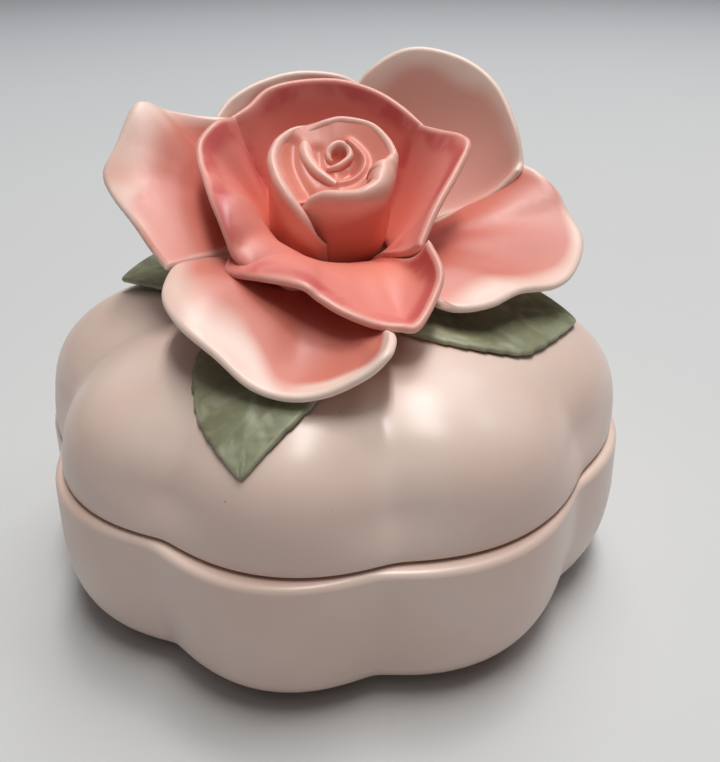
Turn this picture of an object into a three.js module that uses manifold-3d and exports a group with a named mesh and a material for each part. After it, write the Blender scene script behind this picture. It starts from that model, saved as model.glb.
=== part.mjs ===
// A lobed porcelain trinket box: a round bowl of eight lobes, a domed lid that lifts off,
// and a hand-made rose with three leaves fired onto the lid. Millimetres and degrees, +Z up,
// origin on the box's axis at the plane of its foot.

import * as THREE from "three";
import { mergeVertices } from "three/addons/utils/BufferGeometryUtils.js";
import Module from "manifold-3d";

// Driving dimensions
const GROOVES = [24, 71, 118, 165, 212, 251.5, 292, 337];
const GROOVE_SOFTNESS = 0.15;
const GROOVE_FADE_RADII = [8, 30];
const TURN_STEPS = 48;
const GAP = 0.3;

// Bowl
const BOWL_RADIUS = 59.8;
const FOOT_RADIUS = 43;
const FOOT_WIDTH = 7;
const FOOT_RECESS = 1.5;
const BELLY_HEIGHT = 20;
const RIM_RADIUS = 59.2;
const RIM_HEIGHT = 31;
const RIM_ROLL = 1.3;
const RIM_WIDTH = 5.2;
const BOWL_WALL = 3.5;
const BOWL_FLOOR = 5;
const BOWL_CURVE = 0.73;
const BOWL_GROOVE = 0.074;
const RIM_GROOVE = 0.062;

// Lid
const LID_RADIUS = 58.1;
const LID_SEAT = RIM_HEIGHT + GAP;
const LID_SPRING = 31.7;
const LID_RISE = 26.1;
const LID_CURVE = 0.69;
const LID_WALL = 3.8;
const LID_GROOVE = { edge: 0.049, shoulder: 0.074, crown: 0.016 };
const LID_TURN = 2.8;
const LID_SHIFT = [-0.25, 1];
const FLANGE_RADIUS = 50;
const FLANGE_DEPTH = 4.5;
const FLANGE_WALL = 2.8;

// Rose
const ROSE_TURN = 9.8;
const ROSE_SHIFT = [0.8, -0.5];
const ROOT_CENTRE = [0, 4];
const PETAL_RIM = 1.6;
const PETAL_ROOT = 2.6;
const PETAL_ACROSS = 14;
const PETAL_ALONG = 5;
const RIB_REACH = 0.4;

// Bud, leaning towards the front of the rose
const BUD_PLACE = [0.2, 9, 59.3];
const BUD_LEAN = 22;

// Leaves
const LEAF_THICKNESS = 1.8;
const LEAF_LENGTH_STEPS = 10;
const LEAF_WIDTH_STEPS = 6;

const CLAY = { roughness: 0.45, metalness: 0 };

// A closed body's geometry as a solid, and back again.
const wasm = await Module();
wasm.setup();

function toSolid(geometry) {
  const bare = geometry.clone();
  bare.deleteAttribute("normal");
  bare.deleteAttribute("uv");
  const merged = mergeVertices(bare, 1e-4);
  return new wasm.Manifold(
    new wasm.Mesh({
      numProp: 3,
      vertProperties: merged.attributes.position.array,
      triVerts: new Uint32Array(merged.index.array),
    }),
  );
}

function toGeometry(solid) {
  const mesh = solid.getMesh();
  const geometry = new THREE.BufferGeometry();
  geometry.setAttribute("position", new THREE.BufferAttribute(mesh.vertProperties, 3));
  geometry.setIndex(new THREE.BufferAttribute(mesh.triVerts, 1));
  geometry.computeVertexNormals();
  return geometry;
}

// The largest of the bodies that a cut leaves.
function largestBody(solid) {
  const bodies = solid.decompose();
  return bodies.reduce((best, body) => (body.volume() > best.volume() ? body : best));
}

function cutBy(geometry, cutters) {
  const cut = cutters.reduce((solid, cutter) => solid.subtract(cutter), toSolid(geometry));
  return toGeometry(largestBody(cut));
}

// The two grooves, in degrees, beside a lobe by its number.
function groovesBeside(lobe) {
  const last = GROOVES[lobe];
  const next = lobe + 1 < GROOVES.length ? GROOVES[lobe + 1] : GROOVES[0] + 360;
  return [last, next];
}

// How deep a place lies between two lobes, by its share of the way across a lobe:
// 0 on the lobe's crest, nearly 1 in a groove.
function grooveDepth(share) {
  const wave = Math.sin(Math.PI * share);
  return 1 - Math.hypot(wave, GROOVE_SOFTNESS) / Math.hypot(1, GROOVE_SOFTNESS);
}

// The same depth at an angle in radians.
function grooveShare(angle) {
  const past = THREE.MathUtils.euclideanModulo(THREE.MathUtils.radToDeg(angle) - GROOVES[0], 360);
  const degrees = past + GROOVES[0];
  const lobe = GROOVES.findLastIndex((groove) => groove <= degrees);
  const [last, next] = groovesBeside(Math.max(lobe, 0));
  return grooveDepth((degrees - last) / (next - last));
}

// A turned profile of [radius, height] pairs, pressed in along the grooves. The even steps of
// the turning are drawn to the lobes, so that an edge runs down every groove.
function lobedTurning(profile, depthAt, heightCentre) {
  const points = profile.map(([r, z]) => new THREE.Vector2(r, z));
  const geometry = new THREE.LatheGeometry(points, TURN_STEPS);
  geometry.rotateX(Math.PI / 2);
  const position = geometry.attributes.position;
  for (let i = 0; i < position.count; i++) {
    const x = position.getX(i);
    const y = position.getY(i);
    const z = position.getZ(i);
    const radius = Math.hypot(x, y);
    const turned = THREE.MathUtils.euclideanModulo(Math.atan2(y, x) / (2 * Math.PI), 1);
    const lobes = turned * GROOVES.length;
    const lobe = Math.min(Math.floor(lobes), GROOVES.length - 1);
    const [last, next] = groovesBeside(lobe);
    const angle = THREE.MathUtils.degToRad(THREE.MathUtils.lerp(last, next, lobes - lobe));
    const press = depthAt(radius, z) * grooveDepth(lobes - lobe);
    const sink = press * THREE.MathUtils.smoothstep(radius, ...GROOVE_FADE_RADII);
    const reach = radius * (1 - press);
    const height = z - (z - heightCentre(z)) * sink;
    position.setXYZ(i, reach * Math.cos(angle), reach * Math.sin(angle), height);
  }
  return geometry;
}

// Points on a rounded wall between two radii, from its foot up.
function wallCurve(low, high, footHeight, topHeight, power, steps) {
  return Array.from({ length: steps + 1 }, (_, i) => {
    const turn = (i / steps) * (Math.PI / 2);
    const out = Math.pow(Math.sin(turn), power);
    const up = 1 - Math.pow(Math.cos(turn), power);
    return [low + (high - low) * out, footHeight + (topHeight - footHeight) * up];
  });
}

// Points on a quarter round about a centre, from one turn to another.
function roundCorner(r, z, radius, from, to, steps) {
  return Array.from({ length: steps + 1 }, (_, i) => {
    const turn = THREE.MathUtils.degToRad(from + ((to - from) * i) / steps);
    return [r + radius * Math.cos(turn), z + radius * Math.sin(turn)];
  });
}

function bowlGeometry() {
  const footInside = FOOT_RADIUS - FOOT_WIDTH;
  const openingRadius = RIM_RADIUS - RIM_WIDTH;
  const profile = [
    [0, FOOT_RECESS],
    [footInside - FOOT_RECESS, FOOT_RECESS],
    [footInside, 0],
    ...wallCurve(FOOT_RADIUS, BOWL_RADIUS, 0, BELLY_HEIGHT, BOWL_CURVE, 7),
    ...roundCorner(RIM_RADIUS - RIM_ROLL, RIM_HEIGHT - RIM_ROLL, RIM_ROLL, 0, 90, 4),
    [openingRadius + 0.8, RIM_HEIGHT],
    [openingRadius, RIM_HEIGHT - 0.8],
    ...wallCurve(
      FOOT_RADIUS - BOWL_WALL,
      openingRadius,
      BOWL_FLOOR,
      BELLY_HEIGHT,
      BOWL_CURVE,
      5,
    ).reverse(),
    [0, BOWL_FLOOR],
  ];
  const depthAt = (r, z) =>
    THREE.MathUtils.lerp(BOWL_GROOVE, RIM_GROOVE, THREE.MathUtils.smoothstep(z, 8, RIM_HEIGHT));
  return lobedTurning(profile, depthAt, (z) => z);
}

// The lid's dome at a turn from its edge (0) to its crown (90), moved out by a distance.
function domePoint(turn, offset) {
  const a = THREE.MathUtils.degToRad(turn);
  const r = (LID_RADIUS + offset) * Math.pow(Math.cos(a), LID_CURVE);
  const z = LID_SPRING + (LID_RISE + offset) * Math.pow(Math.sin(a), LID_CURVE);
  return [r, z];
}

function lidGrooveAt(radius, z) {
  const climb = THREE.MathUtils.clamp((z - LID_SPRING) / LID_RISE, 0, 1);
  const { edge, shoulder, crown } = LID_GROOVE;
  const low = THREE.MathUtils.lerp(edge, shoulder, THREE.MathUtils.smoothstep(climb, 0, 0.35));
  return THREE.MathUtils.lerp(low, crown, THREE.MathUtils.smoothstep(climb, 0.6, 0.95));
}

const lidCentre = (z) => Math.min(z, LID_SPRING);

// The dome's height over a place on the lid, found by halving the turn.
function domeHeight(x, y, offset) {
  const share = grooveShare(Math.atan2(y, x));
  const radius = Math.hypot(x, y);
  let low = 0;
  let high = 90;
  let height = LID_SPRING;
  for (let i = 0; i < 30; i++) {
    const turn = (low + high) / 2;
    const [r, z] = domePoint(turn, offset);
    const press = lidGrooveAt(r, z) * share;
    const sink = press * THREE.MathUtils.smoothstep(r, ...GROOVE_FADE_RADII);
    height = z - (z - LID_SPRING) * sink;
    if (r * (1 - press) > radius) low = turn;
    else high = turn;
  }
  return height;
}

function domeTurns(steps) {
  return Array.from({ length: steps + 1 }, (_, i) => 90 * Math.pow(i / steps, 1.15));
}

function lidGeometry() {
  const inner = domeTurns(8).map((turn) => domePoint(turn, -LID_WALL));
  const inside = FLANGE_RADIUS - FLANGE_WALL;
  const profile = [
    ...inner.reverse().filter(([r]) => r < inside),
    [inside, LID_SEAT + 2],
    [inside, LID_SEAT - FLANGE_DEPTH + 0.6],
    [inside + 0.6, LID_SEAT - FLANGE_DEPTH],
    [FLANGE_RADIUS - 0.6, LID_SEAT - FLANGE_DEPTH],
    [FLANGE_RADIUS, LID_SEAT - FLANGE_DEPTH + 0.6],
    [FLANGE_RADIUS, LID_SEAT],
    ...roundCorner(LID_RADIUS - 1.2, LID_SEAT + 1.2, 1.2, -90, 0, 3),
    ...domeTurns(12).map((turn) => domePoint(turn, 0)).slice(1),
  ];
  profile[0][0] = 0;
  profile[profile.length - 1][0] = 0;
  return lobedTurning(profile, lidGrooveAt, lidCentre);
}

// The space that the lid fills from its crown down, with a gap all round.
function lidBlock() {
  const profile = [
    [0, LID_SEAT],
    ...domeTurns(12).map((turn) => domePoint(turn, GAP)),
  ];
  profile[profile.length - 1][0] = 0;
  return lobedTurning(profile, lidGrooveAt, lidCentre);
}

// A sheet of clay between a root arc and a free rim.
// root: from and to angles, radius, height and the angle at which it rises.
// rim: [angle, radius, height, lip angle, thickness], one station after another.
function polar(centre, angle, radius, height) {
  const a = THREE.MathUtils.degToRad(angle);
  return new THREE.Vector3(
    centre[0] + radius * Math.cos(a),
    centre[1] + radius * Math.sin(a),
    height,
  );
}

function outward(angle, rise) {
  const a = THREE.MathUtils.degToRad(angle);
  const b = THREE.MathUtils.degToRad(rise);
  return new THREE.Vector3(
    Math.cos(a) * Math.cos(b),
    Math.sin(a) * Math.cos(b),
    Math.sin(b),
  );
}

function sheetMaker(petal, grow) {
  const shift = petal.root.shift ?? [0, 0];
  const rootCentre = (petal.centre ?? ROOT_CENTRE).map((value, axis) => value + shift[axis]);
  const rimCentre = petal.centre ?? [0, 0];
  const curve = (values) => new THREE.CatmullRomCurve3(values, false, "catmullrom", 0.5);
  const edge = curve(petal.rim.map(([a, r, z]) => polar(rimCentre, a, r, z)));
  const shape = curve(
    petal.rim.map(([a, , , lip, thick]) => new THREE.Vector3(a, lip, thick ?? PETAL_RIM)),
  );
  const root = petal.root;

  function rib(u) {
    const end = edge.getPoint(u);
    const { x: angle, y: lip, z: thick } = shape.getPoint(u);
    const rootAngle = THREE.MathUtils.lerp(root.from, root.to, u);
    const start = polar(rootCentre, rootAngle, root.radius, root.height);
    const reach = (petal.reach ?? RIB_REACH) * start.distanceTo(end);
    const rise = outward(rootAngle, root.rise).multiplyScalar(reach);
    const lean = outward(angle, lip);
    const before = end.clone().addScaledVector(lean, -reach);
    const last = end.clone().addScaledVector(lean, grow);
    const bezier = new THREE.CubicBezierCurve3(start, start.clone().add(rise), before, last);
    return { bezier, thick };
  }

  function point(u, v, past = 0) {
    const place = rib(u).bezier.getPoint(v);
    if (past !== 0) place.addScaledVector(edge.getTangent(u), past);
    return place;
  }

  function normal(u, v) {
    const h = 0.01;
    const across = point(Math.min(u + h, 1), v).sub(point(Math.max(u - h, 0), v));
    const along = point(u, Math.min(v + h, 1)).sub(point(u, Math.max(v - h, 0)));
    return across.cross(along).normalize();
  }

  function thickness(u, v) {
    const rimThick = rib(u).thick;
    const rootThick = petal.rootThickness ?? PETAL_ROOT;
    return THREE.MathUtils.lerp(rootThick, rimThick, Math.sqrt(v)) + 2 * grow;
  }

  return { point, normal, thickness };
}

// A closed body from a grid of places, their normals and thicknesses.
function closedSheet(columns, rows, place) {
  const positions = [];
  for (const side of [1, -1])
    for (let i = 0; i <= columns; i++)
      for (let j = 0; j <= rows; j++) positions.push(...place(i, j, side).toArray());
  const index = [];
  const at = (i, j, side) => (side > 0 ? 0 : (columns + 1) * (rows + 1)) + i * (rows + 1) + j;
  const quad = (a, b, c, d) => index.push(a, b, c, a, c, d);
  for (let i = 0; i < columns; i++)
    for (let j = 0; j < rows; j++) {
      quad(at(i, j, 1), at(i + 1, j, 1), at(i + 1, j + 1, 1), at(i, j + 1, 1));
      quad(at(i, j, -1), at(i, j + 1, -1), at(i + 1, j + 1, -1), at(i + 1, j, -1));
    }
  for (let i = 0; i < columns; i++) {
    quad(at(i, 0, 1), at(i, 0, -1), at(i + 1, 0, -1), at(i + 1, 0, 1));
    quad(at(i, rows, 1), at(i + 1, rows, 1), at(i + 1, rows, -1), at(i, rows, -1));
  }
  for (let j = 0; j < rows; j++) {
    quad(at(0, j, 1), at(0, j + 1, 1), at(0, j + 1, -1), at(0, j, -1));
    quad(at(columns, j, 1), at(columns, j, -1), at(columns, j + 1, -1), at(columns, j + 1, 1));
  }
  const geometry = new THREE.BufferGeometry();
  geometry.setAttribute("position", new THREE.Float32BufferAttribute(positions, 3));
  geometry.setIndex(index);
  geometry.computeVertexNormals();
  return geometry;
}

// A petal's body. grow widens it on every side, for cutting its neighbours clear of it.
// A wrap's stations lie on its outer face, and a petal's on its middle.
function petalGeometry(petal, grow = 0) {
  const sheet = sheetMaker(petal, grow);
  const columns = petal.columns ?? PETAL_ACROSS;
  const faces = petal.isWrap ? { outer: 0, inner: -1 } : { outer: 0.5, inner: -0.5 };
  const spread = petal.isWrap ? grow : 0;
  return closedSheet(columns, PETAL_ALONG, (i, j, side) => {
    const u = i / columns;
    const v = j / PETAL_ALONG;
    const past = i === 0 ? -grow : i === columns ? grow : 0;
    const share = side > 0 ? faces.outer : faces.inner;
    return sheet
      .point(u, v, past)
      .addScaledVector(sheet.normal(u, v), sheet.thickness(u, v) * share + spread);
  });
}

// The bud's wraps, in the bud's own frame: rim stations as for a petal.
const BUD_WRAPS = {
  bud_wrap_left: {
    centre: [0, 0],
    isWrap: true,
    columns: 16,
    rootThickness: 3,
    root: { from: 100, to: 276, radius: 7, height: 1, rise: 22, shift: [-1.2, -1.6] },
    rim: [
      [104, 12.6, 23.2, 85, 1.2],
      [117, 13, 23.9, 82],
      [132, 13.2, 24.3, 80],
      [152, 13.4, 24.1, 80, 2.2],
      [174, 12.9, 23.8, 80, 2.5],
      [196, 12.2, 23.1, 82, 2.6],
      [214, 11.9, 22.1, 84, 2.5],
      [230, 11.9, 20.7, 85, 2.2],
      [244, 12.1, 18.6, 85, 1.8],
      [254, 11.9, 15.6, 85, 1.2],
      [264, 10.9, 12.5, 85, 0.8],
    ],
  },
  bud_wrap_right: {
    centre: [0, 0],
    isWrap: true,
    columns: 22,
    rootThickness: 3,
    root: { from: 204, to: 470, radius: 6.8, height: 0.4, rise: 44, shift: [-1.2, -1.8] },
    rim: [
      [208, 10.4, 14.8, 85, 1.4],
      [222, 10.4, 17.4, 82, 1.5],
      [236, 10.1, 19.6, 78, 1.8],
      [248, 9.7, 21.5, 72, 2.4],
      [261, 9.9, 22.6, 68, 2.8],
      [281, 10.9, 23.1, 65, 3],
      [300, 12.4, 23.5, 65, 3.4],
      [320, 13.2, 23.9, 70, 4.4],
      [338, 13, 24.3, 72, 5.4],
      [350, 12.7, 24.6, 74, 5.6],
      [358, 12.5, 24.7, 76, 3.4],
      [368, 12.4, 24.8, 78, 1.9],
      [390, 12.4, 25, 80, 1.7],
      [415, 13, 25.2, 80],
      [442, 12.8, 25.2, 80],
      [460, 12.3, 24.8, 80],
      [474, 11.8, 24.1, 80, 1.4],
      [486, 11.3, 23.2, 80, 1.2],
    ],
  },
  bud_fold: {
    centre: [5, 3],
    columns: 10,
    root: { from: 150, to: 240, radius: 6.4, height: 12, rise: 75 },
    rootThickness: 3,
    rim: [
      [147, 12.2, 22.2, 75, 1.6],
      [154, 12.1, 23, 75, 2.6],
      [168, 11.2, 23, 72, 3],
      [181, 10.2, 22.6, 70, 2.8],
      [198, 9, 22.2, 70, 2.4],
      [216, 8.1, 21.8, 70, 2],
      [238, 7.8, 21.3, 75, 1.4],
    ],
  },
  bud_swirl: {
    centre: [0.9, 4.3],
    root: { from: -125, to: 215, radius: 1.9, height: 17, rise: 88 },
    rootThickness: 1.5,
    rim: [
      [-128, 3.9, 20.8, 85, 1],
      [-100, 3, 21.4, 85, 1.3],
      [-60, 2.2, 21.8, 85, 1.4],
      [-12, 2.3, 22.2, 85, 1.4],
      [35, 2.5, 22.5, 85, 1.4],
      [69, 2.8, 22.7, 85, 1.4],
      [97, 2.9, 22.7, 85, 1.4],
      [127, 2.5, 22.5, 85, 1.4],
      [158, 2.3, 22, 85, 1.3],
      [190, 1.9, 21.4, 85, 1.2],
      [215, 1.3, 20.8, 85, 1],
    ],
  },
};

// Solid roll of clay at the bud's middle, as [radius, height] pairs.
const BUD_CORE = [
  [0, 1],
  [4.5, 1.6],
  [6.2, 5],
  [7.8, 10],
  [8, 16],
  [7.4, 19.4],
  [6, 20.4],
  [0, 20.4],
];

// The rose's petals, inner ring first, in the rose's own frame.
const PETALS = {
  inner_petal_left: {
    columns: 18,
    reach: 0.48,
    root: { from: 141, to: 256, radius: 11.5, height: 61.8, rise: 60 },
    rim: [
      [142, 24.6, 86.4, 78, 1.2],
      [150, 23.4, 86.8, 70, 1.2],
      [160, 24.1, 86.8, 60],
      [171, 25.6, 84.3, 50],
      [181, 25, 81.8, 40],
      [192, 24, 79.8, 25],
      [203, 24, 78.4, 5],
      [212, 24.6, 77.2, -20],
      [219, 25, 75.2, -40],
      [225, 25.5, 72.6, -50],
      [230, 25.8, 69.6, -50],
      [238, 25.3, 67.6, -50],
      [247, 23, 65.4, -45],
      [255, 20.5, 62.6, -35],
    ],
  },
  inner_petal_back: {
    root: { from: 40, to: 142, radius: 11.5, height: 61.8, rise: 60 },
    rim: [
      [36, 23.2, 84.2, 75],
      [54, 22.8, 88, 80],
      [70, 23, 90.6, 85],
      [88, 22.6, 92.3, 88],
      [108, 23.2, 92.2, 88],
      [124, 24, 91, 85],
      [137, 23.6, 88.2, 80],
      [150, 24.8, 86, 75],
    ],
  },
  inner_petal_right: {
    root: { from: -48, to: 52, radius: 11, height: 61.8, rise: 55 },
    rim: [
      [-42, 21.5, 70, 50],
      [-22, 20.9, 75.5, 60],
      [-2, 23.4, 79.6, 50],
      [10, 26.6, 83.1, 40],
      [18, 26.3, 84.3, 45],
      [28, 24, 84.6, 60],
      [38, 22.6, 84.9, 72],
      [48, 23.8, 85.2, 75],
    ],
  },
  inner_petal_front: {
    columns: 18,
    root: { from: 228, to: 316, radius: 11, height: 61.6, rise: 45 },
    rim: [
      [222, 22.5, 68.8, 30],
      [225, 25.5, 68.4, 0],
      [230, 27.5, 67.2, -25],
      [245, 27.8, 67.9, -20],
      [261, 29, 68.1, 0],
      [267, 30, 66.6, 2],
      [272, 31.5, 65.5, 5],
      [278, 33, 64.3, 8],
      [284, 34, 63.2, 12],
      [290, 35.1, 62.8, 18],
      [295, 35.3, 62.8, 25],
      [305, 31.7, 66.2, 45],
      [311, 29, 68.9, 60],
      [317, 23.4, 71.7, 70],
    ],
  },
  outer_petal_left: {
    columns: 16,
    root: { from: 140, to: 214, radius: 14, height: 61.8, rise: 45 },
    rim: [
      [139, 27.3, 85.5, 60],
      [148, 32.2, 86.1, 50],
      [156, 36.9, 87.6, 40],
      [162.6, 40.2, 89.3, 30],
      [172, 41.8, 82.9, 10],
      [178, 43.3, 78.8, 0],
      [184, 41.3, 75.8, 0],
      [194, 37.1, 72.1, 5],
      [203.5, 35, 69.1, 5],
      [212, 33.9, 66.9, 0],
    ],
  },
  outer_petal_front: {
    columns: 18,
    root: { from: 218, to: 288, radius: 14, height: 61.6, rise: 25 },
    rim: [
      [213, 31, 67.5, 10],
      [216, 34.2, 67, -10],
      [225.6, 39.2, 65.6, -20],
      [235, 41.5, 63.4, -20],
      [245, 42, 60.1, -15],
      [254, 43.8, 57, -10],
      [262, 44.4, 56, 5],
      [270, 44.2, 57, 15],
      [278, 43.8, 60, 30],
      [283, 42.4, 64, 45],
      [284, 40.5, 67, 50],
    ],
  },
  outer_petal_right: {
    columns: 18,
    root: { from: -68, to: 20, radius: 14, height: 61.6, rise: 30 },
    rim: [
      [-47, 27.6, 61.5, 0],
      [-44, 31.6, 61, 0],
      [-35, 35, 61, -5],
      [-25, 38.1, 62, -5],
      [-16, 43.5, 61.3, -5],
      [-8.6, 46.7, 62.6, 0],
      [0, 48.7, 66, 5],
      [7.3, 47.1, 69.7, 15],
      [12.6, 45.9, 73, 20],
      [18.6, 43.9, 75.6, 35],
      [23.5, 42.6, 76.3, 45],
    ],
  },
  outer_petal_back_right: {
    columns: 16,
    root: { from: 22, to: 84, radius: 14, height: 61.8, rise: 30 },
    rim: [
      [20, 40, 76, 50],
      [23, 42, 78, 58],
      [28, 42.4, 83.7, 66],
      [37.4, 42.8, 90.5, 70],
      [47.8, 41.8, 94.8, 72],
      [60, 39.3, 96.9, 74],
      [69, 36.5, 96.2, 75],
      [78, 32.8, 93, 75],
      [85, 30, 90, 75],
    ],
  },
  outer_petal_back_left: {
    root: { from: 84, to: 142, radius: 14, height: 61.8, rise: 45 },
    rim: [
      [72, 31.5, 89.5, 80],
      [87, 31.5, 91.8, 85],
      [104, 32, 92.6, 85],
      [119, 32.1, 91.2, 80],
      [132, 32.3, 88.5, 75],
      [141, 31.9, 85.1, 70],
    ],
  },
};

// The clay pad that the petals stand on, as [radius, height] pairs.
const PAD = [
  [0, LID_SPRING + LID_RISE - 4],
  [17, LID_SPRING + LID_RISE - 4],
  [17, 58.6],
  [16, 59.6],
  [13, 60],
  [0, 60],
];

// Leaves pressed onto the dome, in the lid's own frame: where each starts and points to,
// its width, and how far its tip and its two edges stand off the dome.
const LEAVES = {
  leaf_front: { base: [-5, -20], tip: [-2.7, -53.6], width: 25, tipLift: 0, edgeLift: [0.4, 0.4] },
  leaf_right: { base: [14, -14], tip: [48.3, 0.9], width: 27, tipLift: 0.5, edgeLift: [3, 0.3] },
  leaf_left: { base: [-12, 2], tip: [-42.8, -2.9], width: 22, tipLift: 2, edgeLift: [0.3, 6] },
};

function turnedSolid(profile) {
  const geometry = new THREE.LatheGeometry(
    profile.map(([r, z]) => new THREE.Vector2(r, z)),
    24,
  );
  return geometry.rotateX(Math.PI / 2);
}

// A solid's profile, wider by the gap and longer by it at both ends.
function grownProfile(profile) {
  const middle = (profile[0][1] + profile.at(-1)[1]) / 2;
  return profile.map(([r, z]) => [r === 0 ? 0 : r + GAP, z + (z < middle ? -GAP : GAP)]);
}

// A place on the dome and the way it faces.
function domeFrame(x, y) {
  const h = 0.2;
  const height = domeHeight(x, y, 0);
  const slopeX = (domeHeight(x + h, y, 0) - domeHeight(x - h, y, 0)) / (2 * h);
  const slopeY = (domeHeight(x, y + h, 0) - domeHeight(x, y - h, 0)) / (2 * h);
  return {
    place: new THREE.Vector3(x, y, height),
    facing: new THREE.Vector3(-slopeX, -slopeY, 1).normalize(),
  };
}

function leafGeometry(leaf) {
  const base = new THREE.Vector2(...leaf.base);
  const spine = new THREE.Vector2(...leaf.tip).sub(base);
  const side = new THREE.Vector2(-spine.y, spine.x).normalize();
  return closedSheet(LEAF_WIDTH_STEPS, LEAF_LENGTH_STEPS, (i, j, face) => {
    const along = j / LEAF_LENGTH_STEPS;
    const across = 1 - (2 * i) / LEAF_WIDTH_STEPS;
    const swell = Math.pow(Math.sin(Math.PI * Math.pow(0.12 + 0.88 * along, 0.85)), 0.8);
    const halfWidth = (leaf.width / 2) * Math.max(swell, 0.04);
    const spot = base.clone().addScaledVector(spine, along);
    spot.addScaledVector(side, across * halfWidth);
    const { place, facing } = domeFrame(spot.x, spot.y);
    const edgeLift = across > 0 ? leaf.edgeLift[0] : leaf.edgeLift[1];
    const lift = leaf.tipLift * along ** 2 + edgeLift * swell * across ** 2;
    const level = 2 * GAP + lift + (face > 0 ? LEAF_THICKNESS : 0);
    return place.addScaledVector(facing, level);
  });
}

// Assembly: each ring of petals is cut clear of what was laid before it.
function clayMaterial(colour, roughness = CLAY.roughness) {
  return new THREE.MeshStandardMaterial({ ...CLAY, color: colour, roughness });
}

function namedMesh(name, geometry, material) {
  const mesh = new THREE.Mesh(geometry, material);
  mesh.name = name;
  return mesh;
}

const COLOURS = {
  body: 0xecd9cf,
  pad: 0xe2c9bd,
  bud: 0xeaa596,
  inner: 0xdf7f72,
  outer: 0xf0aa9c,
  leaf: 0x9db592,
};

const trinketBox = new THREE.Group();
const lidGroup = new THREE.Group();
lidGroup.position.set(...LID_SHIFT, 0);
lidGroup.rotation.z = THREE.MathUtils.degToRad(LID_TURN);
const roseGroup = new THREE.Group();
roseGroup.position.set(...ROSE_SHIFT, 0);
roseGroup.rotation.z = THREE.MathUtils.degToRad(ROSE_TURN);
const budGroup = new THREE.Group();
budGroup.position.set(...BUD_PLACE);
budGroup.rotation.x = THREE.MathUtils.degToRad(BUD_LEAN);
trinketBox.add(lidGroup);
lidGroup.add(roseGroup);
roseGroup.add(budGroup);
[roseGroup, budGroup].forEach((group) => group.updateMatrix());

trinketBox.add(namedMesh("base_bowl", bowlGeometry(), clayMaterial(COLOURS.body)));
lidGroup.add(namedMesh("lid_shell", lidGeometry(), clayMaterial(COLOURS.body)));

const lidFromRose = roseGroup.matrix;
const roseFromLid = lidFromRose.clone().invert();
const roseFromBud = budGroup.matrix;
const budFromRose = roseFromBud.clone().invert();

// The rose's laid pieces, each grown by the gap, in the rose's frame.
const laid = [];
const lidCutter = toSolid(lidBlock().applyMatrix4(roseFromLid));

const padGeometry = turnedSolid(PAD).translate(...ROOT_CENTRE, 0);
roseGroup.add(namedMesh("rose_pad", cutBy(padGeometry, [lidCutter]), clayMaterial(COLOURS.pad)));
const padBlock = turnedSolid(grownProfile(PAD));
laid.push(toSolid(padBlock.translate(...ROOT_CENTRE, 0)));

const coreBlock = turnedSolid(grownProfile(BUD_CORE));
const core = cutBy(turnedSolid(BUD_CORE).applyMatrix4(roseFromBud), laid);
core.applyMatrix4(budFromRose);
budGroup.add(namedMesh("bud_core", core, clayMaterial(COLOURS.bud)));
laid.push(toSolid(coreBlock.applyMatrix4(roseFromBud)));

for (const [name, wrap] of Object.entries(BUD_WRAPS)) {
  const cut = cutBy(petalGeometry(wrap).applyMatrix4(roseFromBud), laid);
  budGroup.add(namedMesh(name, cut.applyMatrix4(budFromRose), clayMaterial(COLOURS.bud)));
  laid.push(toSolid(petalGeometry(wrap, GAP).applyMatrix4(roseFromBud)));
}

for (const [name, petal] of Object.entries(PETALS)) {
  const colour = name.startsWith("inner") ? COLOURS.inner : COLOURS.outer;
  roseGroup.add(namedMesh(name, cutBy(petalGeometry(petal), laid), clayMaterial(colour)));
  laid.push(toSolid(petalGeometry(petal, GAP)));
}

laid.push(lidCutter);
for (const [name, leaf] of Object.entries(LEAVES)) {
  const cut = cutBy(leafGeometry(leaf).applyMatrix4(roseFromLid), laid);
  lidGroup.add(namedMesh(name, cut.applyMatrix4(lidFromRose), clayMaterial(COLOURS.leaf, 0.5)));
}

export default trinketBox;
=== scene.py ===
"""A lobed porcelain trinket box: a bowl, and a lift-off lid with a hand-made rose and three leaves.

The frame is in metres with +Z up. Sizes of clay are written in millimetres, as a maker measures them,
and angles in degrees. A piece is shaped in millimetres and scaled once, when its mesh is made.
"""

import logging
import math
from dataclasses import dataclass, field
from enum import Enum
from typing import Any, Callable

import bpy
import numpy as np
from mathutils import Matrix, Vector


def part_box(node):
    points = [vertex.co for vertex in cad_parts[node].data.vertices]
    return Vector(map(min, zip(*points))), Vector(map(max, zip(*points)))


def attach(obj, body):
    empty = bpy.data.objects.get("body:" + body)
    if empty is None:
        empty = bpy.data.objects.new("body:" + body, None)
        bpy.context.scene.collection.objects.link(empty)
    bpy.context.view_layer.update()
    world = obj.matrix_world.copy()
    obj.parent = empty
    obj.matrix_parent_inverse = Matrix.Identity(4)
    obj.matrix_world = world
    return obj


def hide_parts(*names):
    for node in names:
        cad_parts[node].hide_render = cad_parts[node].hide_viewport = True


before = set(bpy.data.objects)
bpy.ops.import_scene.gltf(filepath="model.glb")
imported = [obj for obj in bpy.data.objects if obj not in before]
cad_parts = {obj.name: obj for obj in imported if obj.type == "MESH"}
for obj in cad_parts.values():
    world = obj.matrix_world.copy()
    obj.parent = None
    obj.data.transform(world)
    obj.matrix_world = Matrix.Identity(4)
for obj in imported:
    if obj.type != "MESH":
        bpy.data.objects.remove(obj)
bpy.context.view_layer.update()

MM = 0.001
LOG = logging.getLogger("trinket_box")

Array = np.ndarray
Colour = tuple[float, float, float, float]
Place = tuple[float, float, float]
Faces = list[tuple[int, ...]]
Marks = dict[str, Array]
Press = Callable[[Array, Array, Array], tuple[Array, Array]]


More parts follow.
